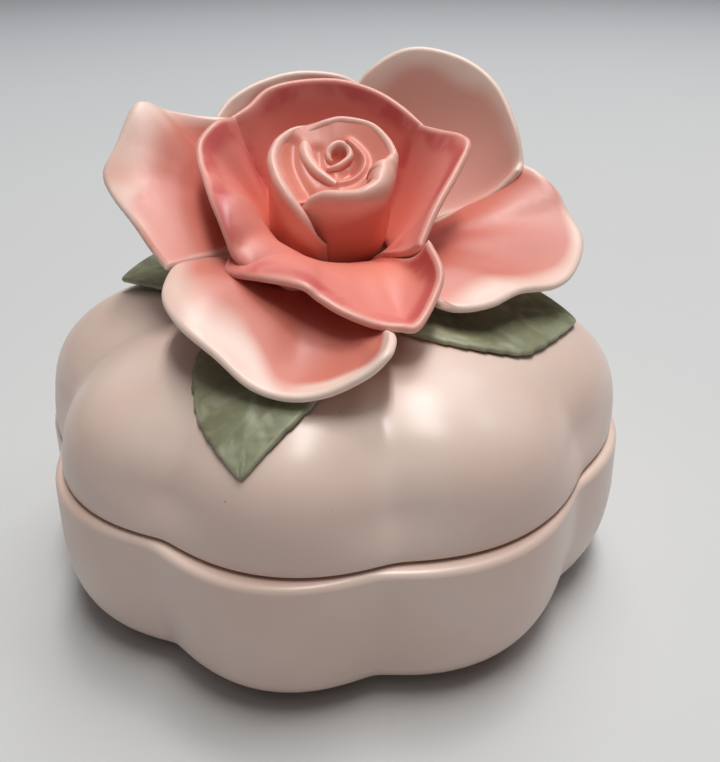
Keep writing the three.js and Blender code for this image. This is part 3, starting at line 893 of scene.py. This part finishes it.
@dataclass
class SheetShaper:
    """Works out a sheet's surface. Millimetres, in the axes that its stations are given in."""

    sheet: Sheet

    def __post_init__(self) -> None:
        """Reads the rim's stations."""
        rows = np.array([(*s, *[self.sheet.rim_thickness] * (5 - len(s))) for s in self.sheet.rim], float)
        self.stations = rows
        centre, shift = self.sheet.centre or ROOT_CENTRE, self.sheet.root.shift
        self.root_centre = (centre[0] + shift[0], centre[1] + shift[1])
        self.rim_places = polar(self.sheet.centre or (0, 0), rows[:, 0], rows[:, 1], rows[:, 2])

    def surface(self, u: Array, v: Array) -> Array:
        """Points of the sheet, on cubic curves from its root to its rim.

        Args:
            u: Places along the rim, one per column.
            v: Places up each rib, columns by rows.

        Returns:
            Points, columns by rows by 3.
        """
        root = self.sheet.root
        end = through(self.rim_places, u)
        angle, lip = through(self.stations[:, [0, 3]], u).T
        root_angle = root.start + (root.end - root.start) * u
        start = polar(self.root_centre, root_angle, root.radius, root.height)
        reach = self.sheet.reach * np.linalg.norm(end - start, axis=-1, keepdims=True)
        first = start + outward(root_angle, root.rise) * reach
        second = end - outward(angle, lip) * reach
        a, b, c, d = (p[:, None, :] for p in (start, first, second, end))
        t = v[..., None]
        s = 1 - t
        return s**3 * a + 3 * s * s * t * b + 3 * s * t * t * c + t**3 * d

    def facing(self, u: Array, v: Array) -> Array:
        """Unit vectors towards the outer face."""
        h = SLOPE_STEP
        across = self.surface(np.minimum(u + h, 1), v) - self.surface(np.maximum(u - h, 0), v)
        along = self.surface(u, np.minimum(v + h, 1)) - self.surface(u, np.maximum(v - h, 0))
        return unit(np.cross(across, along))

    def grid(self) -> tuple[Array, Array, Array, Array, Array, Array]:
        """The places of columns and rows, close together round the free edge.

        Returns:
            u, v, the rim's thickness by column, how full the thickness is by column and by row,
            and each rib's length.
        """
        sheet = self.sheet
        ease = quarter_turns(EDGE_STEPS)
        inset = 1 - np.cos(ease)
        full = np.sin(ease)
        ends = np.array([0.0, SLOPE_STEP])
        speed = [
            np.linalg.norm(np.diff(through(self.rim_places, e), axis=0)) / SLOPE_STEP
            for e in (ends, 1 - ends)
        ]
        bead = sheet.rim_thickness * BEAD
        left, right = (inset * bead / s for s in speed)
        inner = np.linspace(left[-1], 1 - right[-1], sheet.columns - 2 * EDGE_STEPS + 1)[1:-1]
        u = np.concatenate([left, inner, 1 - right[::-1]])
        full_u = np.concatenate([full, np.ones(len(inner)), full[::-1]])
        ribs = self.surface(u, np.tile(np.linspace(0, 1, RIB_STEPS), (len(u), 1)))
        length = np.linalg.norm(np.diff(ribs, axis=1), axis=-1).sum(1)
        thick = through(self.stations[:, 4:5], u)[:, 0]
        bead_v = (BEAD * thick / length)[:, None]
        body = np.linspace(0, 1, sheet.rows - EDGE_STEPS)[None, :] * (1 - bead_v)
        v = np.hstack([body, 1 - bead_v * inset[::-1][1:]])
        full_v = np.concatenate([[0.0], np.ones(body.shape[1] - 1), full[::-1][1:]])
        return u, v, thick, full_u, full_v, length

    def body(self) -> tuple[Array, Faces, Marks]:
        """The closed body, with what its finish reads.

        Returns:
            The points, the faces, and the marks: rim (millimetres to the free edge), climb (share of the
            way up), face (1 outside, -1 inside), the sheet's share of painted light, and cream.
        """
        sheet = self.sheet
        u, v, thick, full_u, full_v, length = self.grid()
        normal = self.facing(u, v)
        thickness = sheet.root_thickness + (thick[:, None] - sheet.root_thickness) * np.sqrt(v)
        middle = self.surface(u, v)
        if sheet.laid is Laid.OUTSIDE:
            middle = middle - normal * thickness[..., None] / 2
        half = thickness / 2 * full_u[:, None] * full_v[None, :]
        points, faces, origin = pillow(middle, normal, half)
        rim = (1 - v) * length[:, None]
        width = np.linalg.norm(np.diff(middle, axis=0), axis=-1).sum(0)[None, :]
        side = np.minimum(u, 1 - u)[:, None] * width
        source = origin[:, 0].astype(int)
        cream = np.interp(u, *np.array(sheet.cream, float).T)
        marks = {
            "rim": np.minimum(rim, side).ravel()[source],
            "climb": v.ravel()[source],
            "face": origin[:, 1] * (full_u[:, None] * full_v[None, :]).ravel()[source],
            # The sheet's share of painted light, the same on every vertex.
            "wash_and_painted_light": np.full(len(source), sheet.wash_and_painted_light),
            "cream": np.repeat(cream[:, None], v.shape[1], 1).ravel()[source],
        }
        return points, faces, marks


BUD_WRAPS = (
    Sheet(
        "bud_wrap_left",
        Root(100, 276, 7, 1, 22, (-1.2, -1.6)),
        (
            (104, 12.6, 23.2, 85, 1.2), (117, 13, 23.9, 82), (132, 13.2, 24.3, 80),
            (152, 13.4, 24.1, 80, 2.2), (174, 12.9, 23.8, 80, 2.5), (196, 12.2, 23.1, 82, 2.6),
            (214, 11.9, 22.1, 84, 2.5), (230, 11.9, 20.7, 85, 2.2), (244, 12.1, 18.6, 85, 1.8),
            (254, 11.9, 15.6, 85, 1.2), (264, 10.9, 12.5, 85, 0.8),
        ),
        centre=(0, 0),
        laid=Laid.OUTSIDE,
        root_thickness=3,
    ),
    Sheet(
        "bud_wrap_right",
        Root(204, 470, 6.8, 0.4, 44, (-1.2, -1.8)),
        (
            (208, 10.4, 14.8, 85, 1.4), (222, 10.4, 17.4, 82, 1.5), (236, 10.1, 19.6, 78, 1.8),
            (248, 9.7, 21.5, 72, 2.4), (261, 9.9, 22.6, 68, 2.8), (281, 10.9, 23.1, 65, 3),
            (300, 12.4, 23.5, 65, 3.4), (320, 13.2, 23.9, 70, 4.4), (338, 13, 24.3, 72, 5.4),
            (350, 12.7, 24.6, 74, 5.6), (358, 12.5, 24.7, 76, 3.4), (368, 12.4, 24.8, 78, 1.9),
            (390, 12.4, 25, 80, 1.7), (415, 13, 25.2, 80), (442, 12.8, 25.2, 80),
            (460, 12.3, 24.8, 80), (474, 11.8, 24.1, 80, 1.4), (486, 11.3, 23.2, 80, 1.2),
        ),
        centre=(0, 0),
        laid=Laid.OUTSIDE,
        root_thickness=3,
        columns=160,
    ),
    Sheet(
        "bud_fold",
        Root(150, 240, 6.4, 12, 75),
        (
            (147, 12.2, 22.2, 75, 1.6), (154, 12.1, 23, 75, 2.6), (168, 11.2, 23, 72, 3),
            (181, 10.2, 22.6, 70, 2.8), (198, 9, 22.2, 70, 2.4), (216, 8.1, 21.8, 70, 2),
            (238, 7.8, 21.3, 75, 1.4),
        ),
        centre=(5, 3),
        root_thickness=3,
        columns=72,
    ),
    Sheet(
        "bud_swirl",
        Root(-125, 215, 1.9, 17, 88),
        (
            (-128, 3.9, 21.25, 85, 1), (-100, 3, 21.85, 85, 1.3), (-60, 2.2, 22.25, 85, 1.4),
            (-12, 2.3, 22.65, 85, 1.4), (35, 2.5, 22.95, 85, 1.4), (69, 2.8, 23.15, 85, 1.4),
            (97, 2.9, 23.15, 85, 1.4), (127, 2.5, 22.95, 85, 1.4), (158, 2.3, 22.45, 85, 1.3),
            (190, 1.9, 21.85, 85, 1.2), (215, 1.3, 21.25, 85, 1),
        ),
        centre=(0.9, 4.3),
        root_thickness=1.5,
        columns=84,
    ),
)


@dataclass(frozen=True)
class Ridge:
    """A rounded ridge on the bud's top, or a hollow where height is negative, through points x and y."""

    height: float
    width: float
    points: tuple[tuple[float, float], ...]

    def lift(self, x: Array, y: Array) -> Array:
        """How far the ridge raises each place, in millimetres."""
        line = through(np.array(self.points, float), np.linspace(0, 1, 48))
        near = np.min([np.hypot(x - a, y - b) for a, b in line], axis=0)
        return self.height * np.exp(-((near / self.width) ** 2))


BUD_RIDGES = (
    Ridge(1.2, 1.0, ((2.6, 6.6), (4, 5.2), (5.4, 3), (5.7, 0.9), (4.9, -1.2), (3.2, -2.6), (1, -3.2))),
    Ridge(-1.0, 1.3, ((-8.0, 6.5), (-7.8, 2.0), (-6.2, -2.2), (-4.2, -5.6))),
    Ridge(-2.2, 1.4, ((0.7, 4.0), (1.1, 5.2))),
    Ridge(-0.8, 1.2, ((2.2, -0.2), (3.0, 0.4))),
    Ridge(-0.5, 1.1, ((-3.0, 5.6), (-2.6, 2.2), (-1.0, -0.4))),
)

# Where the bud's top meets its wraps: angle, radius and height.
BUD_WALL = (
    (0, 11.0, 24.7), (25, 11.6, 25), (60, 11.8, 25.1), (90, 11.8, 25), (110, 11.8, 24.4),
    (150, 12, 23.9), (174, 11.6, 23.5), (196, 10.8, 22.6), (214, 10.4, 21.4), (230, 9.7, 19.9),
    (250, 8.4, 21.2), (285, 8.8, 22.6), (320, 10.3, 23.3), (345, 10.8, 24.1),
)

# The bud's sides from its foot up: share of the wall's radius, and height.
BUD_SIDES = ((0, 1), (0.4, 1.3), (0.56, 4), (0.76, 8), (0.93, 12), (1, 15))

INNER_PETALS = (
    Sheet(
        "inner_petal_left",
        Root(141, 256, 11.5, 61.8, 60),
        (
            (142, 24.6, 86.4, 78, 0.5), (150, 23.4, 86.8, 70, 1.2), (160, 24.1, 86.8, 60),
            (171, 25.6, 84.3, 50), (181, 25, 81.8, 40), (192, 24, 79.8, 25), (203, 24, 78.4, 5),
            (212, 24.6, 77.2, -20), (219, 25, 75.2, -40), (225, 25.5, 72.6, -50),
            (230, 25.8, 69.6, -50), (238, 25.3, 67.6, -50), (247, 23, 65.4, -45),
            (255, 20.5, 62.6, -35),
        ),
    ),
    Sheet(
        "inner_petal_back",
        Root(40, 142, 11.5, 61.8, 60),
        (
            (36, 23.2, 84.2, 75, 0.8), (54, 22.8, 88, 80), (70, 23, 90.6, 85), (88, 22.6, 92.3, 88),
            (108, 23.2, 92.2, 88), (124, 24, 91, 85), (137, 23.6, 88.2, 80), (150, 24.8, 86, 75, 0.8),
        ),
    ),
    Sheet(
        "inner_petal_right",
        Root(-48, 52, 11, 61.8, 55),
        (
            (-42, 21.5, 70, 50), (-22, 20.9, 75.5, 60), (-2, 23.4, 79.6, 50), (10, 26.6, 83.1, 40),
            (18, 26.3, 84.3, 45), (28, 24, 84.6, 60), (38, 22.6, 84.9, 72, 1),
            (48, 23.8, 85.2, 75, 0.5),
        ),
    ),
    Sheet(
        "inner_petal_front",
        Root(228, 316, 11, 61.6, 45),
        (
            (222, 22.5, 68.8, 30), (225, 25.5, 68.4, 0), (230, 27.5, 67.2, -25),
            (245, 27.8, 67.9, -20), (261, 29, 68.1, 0), (267, 30, 66.6, 2), (272, 31.5, 65.5, 5),
            (278, 33, 64.3, 8), (284, 34, 63.2, 12), (290, 35.1, 62.8, 18), (295, 35.3, 62.8, 25),
            (305, 31.7, 66.2, 45), (311, 29, 68.9, 60), (317, 23.4, 71.7, 70),
        ),
    ),
)

OUTER_PETALS = (
    Sheet(
        "outer_petal_left",
        Root(140, 214, 14, 61.8, 45),
        (
            (139, 27.3, 85.5, 60), (148, 32.2, 86.1, 50), (156, 36.9, 87.6, 40),
            (162.6, 40.2, 89.3, 30), (172, 41.8, 82.9, 10), (178, 43.3, 78.8, 0), (184, 41.3, 75.8, 0),
            (194, 37.1, 72.1, 5), (203.5, 35, 69.1, 5), (212, 33.9, 66.9, 0),
        ),
        cream=((0, 1), (0.2, 1.6), (0.33, 3.4), (0.5, 2.6), (0.7, 1), (1, 1)),
    ),
    Sheet(
        "outer_petal_front",
        Root(218, 288, 14, 61.6, 25),
        (
            (213, 31, 67.5, 10), (216, 34.2, 67, -10), (225.6, 39.2, 65.6, -20),
            (235, 41.5, 63.4, -20), (245, 42, 60.1, -15), (254, 43.8, 57, -10), (262, 44.4, 56, 5),
            (270, 44.2, 57, 15), (278, 43.8, 60, 30), (282.5, 42.8, 62.4, 35), (285, 40, 62.8, 30),
            (287, 36.5, 62.8, 20),
        ),
        cream=((0, 1.5), (0.2, 3.2), (0.35, 2.6), (0.5, 1.2), (1, 0.9)),
    ),
    Sheet(
        "outer_petal_right",
        Root(-68, 20, 14, 61.6, 30),
        (
            (-47, 27.6, 61.5, 0), (-44, 31.6, 61, 0), (-35, 35, 61, -5), (-25, 38.1, 62, -5),
            (-16, 43.5, 61.3, -5), (-8.6, 46.7, 62.6, 0), (0, 48.7, 66, 5), (7.3, 47.1, 69.7, 15),
            (12.6, 45.9, 73, 20), (18.6, 43.9, 75.6, 35), (23.5, 42.6, 76.3, 45),
        ),
        cream=((0, 1.8), (0.35, 2.2), (0.5, 1.2), (1, 0.8)),
    ),
    Sheet(
        "outer_petal_back_right",
        Root(22, 84, 14, 61.8, 30),
        # Painted light: the whole petal is paled, standing in for light that falls on its face.
        wash_and_painted_light=0.35,
        cream=((0, 1), (0.3, 2), (0.6, 1.2), (0.85, 2.6), (1, 2)),
        rim=(
            (20, 40, 76, 50), (23, 42, 78, 58), (28, 42.4, 83.7, 66), (37.4, 42.8, 90.5, 70),
            (47.8, 41.8, 94.8, 72), (60, 39.3, 96.9, 74), (69, 36.5, 96.2, 75), (78, 32.8, 92.6, 75),
            (85, 30.8, 87, 75),
        ),
    ),
    Sheet(
        "outer_petal_back_left",
        Root(84, 142, 14, 61.8, 45),
        (
            (72, 30.5, 84.5, 78), (79, 31.4, 89, 84), (88, 31.5, 91.8, 85), (104, 32, 92.6, 85),
            (119, 32.1, 91.2, 80), (132, 32.3, 88.5, 75), (141, 31.9, 85.1, 70),
        ),
    ),
)


@dataclass
class Rose:
    """The pad, the bud and the two rings of petals. Millimetres and degrees."""

    finishes: Finishes
    lid: Lid
    turn: float = 9.8
    shift: tuple[float, float] = (0.8, -0.5)
    bud_place: Place = (0.2, 9, 59.3)
    bud_lean: float = 22
    pad_radius: float = 17
    pad_inset: float = 1.0
    pad_round: float = 1.4
    pad_to_rim: float = 20
    core_height: float = 20.7
    core_slope: float = 0.12
    core_flat: float = 0.3
    core_curve: float = 1.4
    steps: int = 128

    def __post_init__(self) -> None:
        """Works out the rose's and the bud's axes inside the lid's."""
        turn = Matrix.Rotation(math.radians(self.turn), 4, "Z")
        self.axes = Matrix.Translation((*self.shift, 0)) @ turn
        lean = Matrix.Rotation(math.radians(self.bud_lean), 4, "X")
        self.bud_axes = self.axes @ Matrix.Translation(self.bud_place) @ lean

    def turns(self) -> Array:
        """Even angles round a turned piece, in radians."""
        return np.linspace(0, 2 * math.pi, self.steps, endpoint=False)

    def marks(self, rim: Array, climb: Array) -> Marks:
        """What the finish reads on a solid that shows none of a petal's outer face."""
        return {"rim": rim, "climb": climb, "face": np.full(len(rim), -1.0), "cream": np.ones(len(rim))}

    def pad(self) -> bpy.types.Object:
        """The clay pad that the petals stand on."""
        low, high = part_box("rose_pad")
        top, foot, soft = high.z / MM, low.z / MM, self.pad_round
        profile = np.vstack([
            [[0, foot], [8, foot], [self.pad_radius - self.pad_inset, foot]],
            corner(self.pad_radius - soft, top - soft, soft, 0, 90, 8),
            [[12, top], [6, top], [0, top]],
        ])
        points, faces = turned(profile, self.turns(), lambda r, z, a: (r, z))
        points[:, :2] += ROOT_CENTRE
        marks = self.marks(np.full(len(points), float(self.pad_to_rim)), np.zeros(len(points)))
        return new_piece("fired_rose_pad", self.lid.place(points, self.axes), faces, marks)

    def core_top(self, x: Array, y: Array, share: Array, wall_height: Array) -> Array:
        """Heights of the bud's top, inside its wraps.

        Args:
            x: Places across the bud.
            y: Places from the bud's front to its back.
            share: Each place's share of the way from the middle to the wraps.
            wall_height: How high the top climbs where it meets the wraps.

        Returns:
            The heights, in the bud's own axes.
        """
        level = self.core_height + self.core_slope * y
        climb = np.maximum(share - self.core_flat, 0) / (1 - self.core_flat)
        level = level + (wall_height - level) * climb**self.core_curve
        return level + sum(ridge.lift(x, y) for ridge in BUD_RIDGES)

    def core(self) -> bpy.types.Object:
        """The roll of clay that fills the bud, with a coil pressed into its top."""
        angles, walls, heights = np.array(BUD_WALL, float).T
        rings = np.linspace(1, 0, 64)
        top = [[r, self.core_height] for r in rings]
        profile = np.vstack([BUD_SIDES, [[1, self.core_height - 2]], top])

        def press(r: Array, z: Array, a: Array) -> tuple[Array, Array]:
            """Fits the roll to its wraps and shapes its top."""
            degrees = np.degrees(a)
            radius = r * np.interp(degrees, angles, walls, period=360)
            wall_height = np.interp(degrees, angles, heights, period=360)
            top = self.core_top(radius * np.cos(a), radius * np.sin(a), r, wall_height)
            return radius, np.where(z >= self.core_height, top, z)

        points, faces = turned(profile, self.turns(), press)
        points[-1, 2] = self.core_top(*np.zeros((3, 1)), np.full(1, heights[0]))[0]
        # The top gets more of the middle colour than the sides: partly the bud's real pinker top, partly
        # painted shade on the top and painted light on the shaded sides.
        high = smoothstep(points[:, 2], self.core_height - 3, self.core_height + 1.5)
        marks = self.marks(11 - 2.5 * high, 0.3 + 0.3 * high)
        return new_piece("fired_bud_core", self.lid.place(points, self.bud_axes), faces, marks)

    def sheet(self, sheet: Sheet, axes: Matrix) -> bpy.types.Object:
        """One petal or wrap, made in the given axes."""
        points, faces, marks = SheetShaper(sheet).body()
        return new_piece(f"fired_{sheet.node}", self.lid.place(points, axes), faces, marks)

    def build(self) -> list[tuple[bpy.types.Object, str, Slot]]:
        """Makes every piece, with its node's name and its slot."""
        made = [(self.pad(), "rose_pad", Slot.OUTER), (self.core(), "bud_core", Slot.BUD)]
        made += [(self.sheet(s, self.bud_axes), s.node, Slot.BUD) for s in BUD_WRAPS]
        made += [(self.sheet(s, self.axes), s.node, Slot.INNER) for s in INNER_PETALS]
        made += [(self.sheet(s, self.axes), s.node, Slot.OUTER) for s in OUTER_PETALS]
        return made

    def dress(self, made: list[tuple[bpy.types.Object, str, Slot]]) -> None:
        """Finishes the pieces and rides them on the lid."""
        for piece, node, slot in made:
            self.finishes.dress(piece, slot)
            settle(piece, node, Body.LID)


# ---------------------------------------------------------------- leaves


@dataclass(frozen=True)
class Leaf:
    """A leaf pressed onto the dome, in the lid's own axes: its line, width, and how far it stands off."""

    node: str
    base: tuple[float, float]
    tip: tuple[float, float]
    width: float
    tip_lift: float
    edge_lift: tuple[float, float]


@dataclass
class Leaves:
    """The three leaves. Millimetres."""

    finishes: Finishes
    lid: Lid
    thickness: float = 1.2
    clearance: float = -0.2
    teeth: int = 11
    tooth_depth: float = 0.5
    vein_pairs: int = 6
    vein_height: float = 0.22
    vein_slant: float = 1.1
    vein_width: float = 0.16
    vein_share: float = 0.45
    rib_width: float = 0.9
    blunt: float = 0.12
    slope_step: float = 0.2
    columns: int = 60
    rows: int = 90
    leaves: tuple[Leaf, ...] = (
        Leaf("leaf_front", (-5, -20), (-2.7, -53.6), 25, 0, (0.4, 0.4)),
        Leaf("leaf_right", (14, -14), (48.3, 0.9), 27, 0.5, (3, 0.3)),
        Leaf("leaf_left", (-12, 2), (-42.8, -2.9), 22, 2, (0.3, 6)),
    )

    def shape(self, leaf: Leaf) -> bpy.types.Object:
        """One leaf, laid on the dome."""
        along = np.linspace(0, 1, self.rows)[None, :]
        across = np.linspace(1, -1, self.columns)[:, None]
        base, tip = np.array(leaf.base), np.array(leaf.tip)
        spine = tip - base
        side = np.array([-spine[1], spine[0]]) / np.linalg.norm(spine)
        swell = np.sin(math.pi * (self.blunt + (1 - self.blunt) * along) ** 0.85)
        swell = np.maximum(swell, 0.0) ** 0.8
        saw = (along * self.teeth) % 1
        tooth = self.tooth_depth * (saw**0.7 - 0.5) * swell * np.abs(across) ** 6
        half_width = leaf.width / 2 * swell + tooth
        spot = base + spine * along[..., None] + side * (across * half_width)[..., None]
        x, y = spot[..., 0], spot[..., 1]
        h = self.slope_step
        height = self.lid.height_at(x, y)
        slope_x = (self.lid.height_at(x + h, y) - self.lid.height_at(x - h, y)) / (2 * h)
        slope_y = (self.lid.height_at(x, y + h) - self.lid.height_at(x, y - h)) / (2 * h)
        facing = unit(np.stack([-slope_x, -slope_y, np.ones_like(slope_x)], -1))
        edge_lift = np.where(across > 0, leaf.edge_lift[0], leaf.edge_lift[1])
        lift = leaf.tip_lift * along**2 + edge_lift * swell * across**2
        rib = np.exp(-((across * half_width / self.rib_width) ** 2)) * (1 - along**3)
        slant = along * self.vein_pairs - np.abs(across) * self.vein_slant
        vein = np.exp(-(((slant % 1 - 0.5) / self.vein_width) ** 2))
        vein = vein * smoothstep(1 - np.abs(across), 0, 0.3)
        relief = self.vein_height * (rib - self.vein_share * vein)
        rim = np.minimum((1 - np.abs(across)) * half_width, (1 - along) * np.linalg.norm(spine))
        full = np.sqrt(1 - (1 - np.clip(rim / (self.thickness * 0.7), 0, 1)) ** 2)
        full[:, [0, -1]] = 0
        full[[0, -1], :] = 0
        normal_lift = self.clearance + lift + self.thickness / 2 + relief * full
        middle = np.stack([x, y, height], -1) + facing * normal_lift[..., None]
        points, faces, origin = pillow(middle, facing, self.thickness / 2 * full)
        source = origin[:, 0].astype(int)
        marks = {
            "rim": np.broadcast_to(rim, full.shape).ravel()[source],
            "rib": (rib + 0.5 * vein).ravel()[source],
        }
        return new_piece(f"fired_{leaf.node}", self.lid.place(points), faces, marks)

    def build(self) -> list[tuple[bpy.types.Object, str]]:
        """Makes the leaves, each with its node's name."""
        return [(self.shape(leaf), leaf.node) for leaf in self.leaves]

    def dress(self, made: list[tuple[bpy.types.Object, str]]) -> None:
        """Finishes the leaves and rides them on the lid."""
        for piece, node in made:
            self.finishes.dress(piece, Slot.LEAF)
            settle(piece, node, Body.LID)


# ---------------------------------------------------------------- studio


COOL = (0.97, 0.985, 1.0)
WARM = (1.0, 0.98, 0.95)


@dataclass(frozen=True)
class SoftBox:
    """A studio lamp, placed and aimed in the camera's turned axes. Metres and watts."""

    name: str
    place: Place
    target: Place
    width: float
    length: float
    power: float
    colour: Place = WARM


@dataclass
class Studio:
    """The floor, the lamps and the camera."""

    turn: float = 12.6
    eye: Place = (0.00586, -0.1489, 0.1188)
    target: Place = (0.00586, 0.0004, 0.03446)
    focal_share: float = 1.05
    film: float = 36
    nearest: float = 0.01
    floor_reach: float = 3.0
    floor_steps: int = 24
    floor_drop: float = 0.00005
    sky: Colour = (0.86, 0.92, 1.0, 1.0)
    sky_strength: float = 0.03
    lamps: tuple[SoftBox, ...] = (
        SoftBox("back_softbox", (0.3, 0.9, 1.9), (0.02, 0.0, 0.0), 1.3, 1.3, 17.0, COOL),
        SoftBox("left_tube", (0.04, -0.02, 2.0), (0.04, 0.0, 0.0), 0.1, 1.3, 13.0),
        SoftBox("right_tube", (0.2, -0.02, 2.0), (0.2, 0.0, 0.0), 0.1, 1.3, 13.0),
        SoftBox("right_lamp", (0.9, 0.1, 1.5), (0.0, 0.0, 0.03), 0.4, 0.4, 2.0),
        SoftBox("front_softbox", (-0.15, -0.6, 1.6), (0.0, 0.0, 0.05), 0.9, 0.9, 2.0),
    )

    def turned(self, place: Place) -> Vector:
        """A place given in axes that face the camera, in the frame's axes."""
        return Matrix.Rotation(math.radians(self.turn), 3, "Z") @ Vector(place)

    def aim(self, thing: bpy.types.Object, place: Place, target: Place) -> None:
        """Stands a lamp or the camera at a place and turns it to a target."""
        thing.location = self.turned(place)
        thing.rotation_euler = (self.turned(target) - thing.location).to_track_quat("-Z", "Y").to_euler()
        bpy.context.scene.collection.objects.link(thing)

    def lay_floor(self) -> None:
        """Makes the board that the box stands on."""
        side = np.linspace(-self.floor_reach, self.floor_reach, self.floor_steps) / MM
        x, y = np.meshgrid(side, side, indexing="ij")
        points = np.stack([x, y, np.full_like(x, -self.floor_drop / MM)], -1).reshape(-1, 3)
        cell = np.arange(x.size).reshape(x.shape)
        floor = new_piece("studio_floor", points, quads(cell), {})
        floor.data.materials.append(SweepFinish().material())

    def light(self) -> None:
        """Makes the sky and the lamps."""
        world = bpy.data.worlds.new("studio_sky")
        world.use_nodes = True
        background = world.node_tree.nodes["Background"]
        background.inputs["Color"].default_value = self.sky
        background.inputs["Strength"].default_value = self.sky_strength
        bpy.context.scene.world = world
        for lamp in self.lamps:
            light = bpy.data.lights.new(lamp.name, "AREA")
            light.shape = "RECTANGLE"
            light.size = lamp.width
            light.size_y = lamp.length
            light.energy = lamp.power
            light.color = lamp.colour
            self.aim(bpy.data.objects.new(lamp.name, light), lamp.place, lamp.target)

    def stand_camera(self) -> None:
        """Makes the camera that the picture is taken through."""
        lens = bpy.data.cameras.new("camera")
        lens.sensor_width = self.film
        lens.lens = self.film * self.focal_share
        lens.clip_start = self.nearest
        camera = bpy.data.objects.new("camera", lens)
        self.aim(camera, self.eye, self.target)
        bpy.context.scene.camera = camera
        bpy.context.scene.view_settings.view_transform = "Standard"

    def build(self) -> None:
        """Makes the floor, the lamps and the camera."""
        self.lay_floor()
        self.light()
        self.stand_camera()


def main() -> None:
    """Builds the box piece by piece, then the studio round it."""
    logging.basicConfig(level=logging.INFO, format="%(message)s")
    finishes = Finishes()
    bowl = Bowl(finishes)
    bowl.dress(bowl.build())
    lid = Lid(finishes)
    lid.dress(lid.build())
    rose = Rose(finishes, lid)
    rose.dress(rose.build())
    leaves = Leaves(finishes, lid)
    leaves.dress(leaves.build())
    Studio().build()


if __name__ == "__main__":
    main()
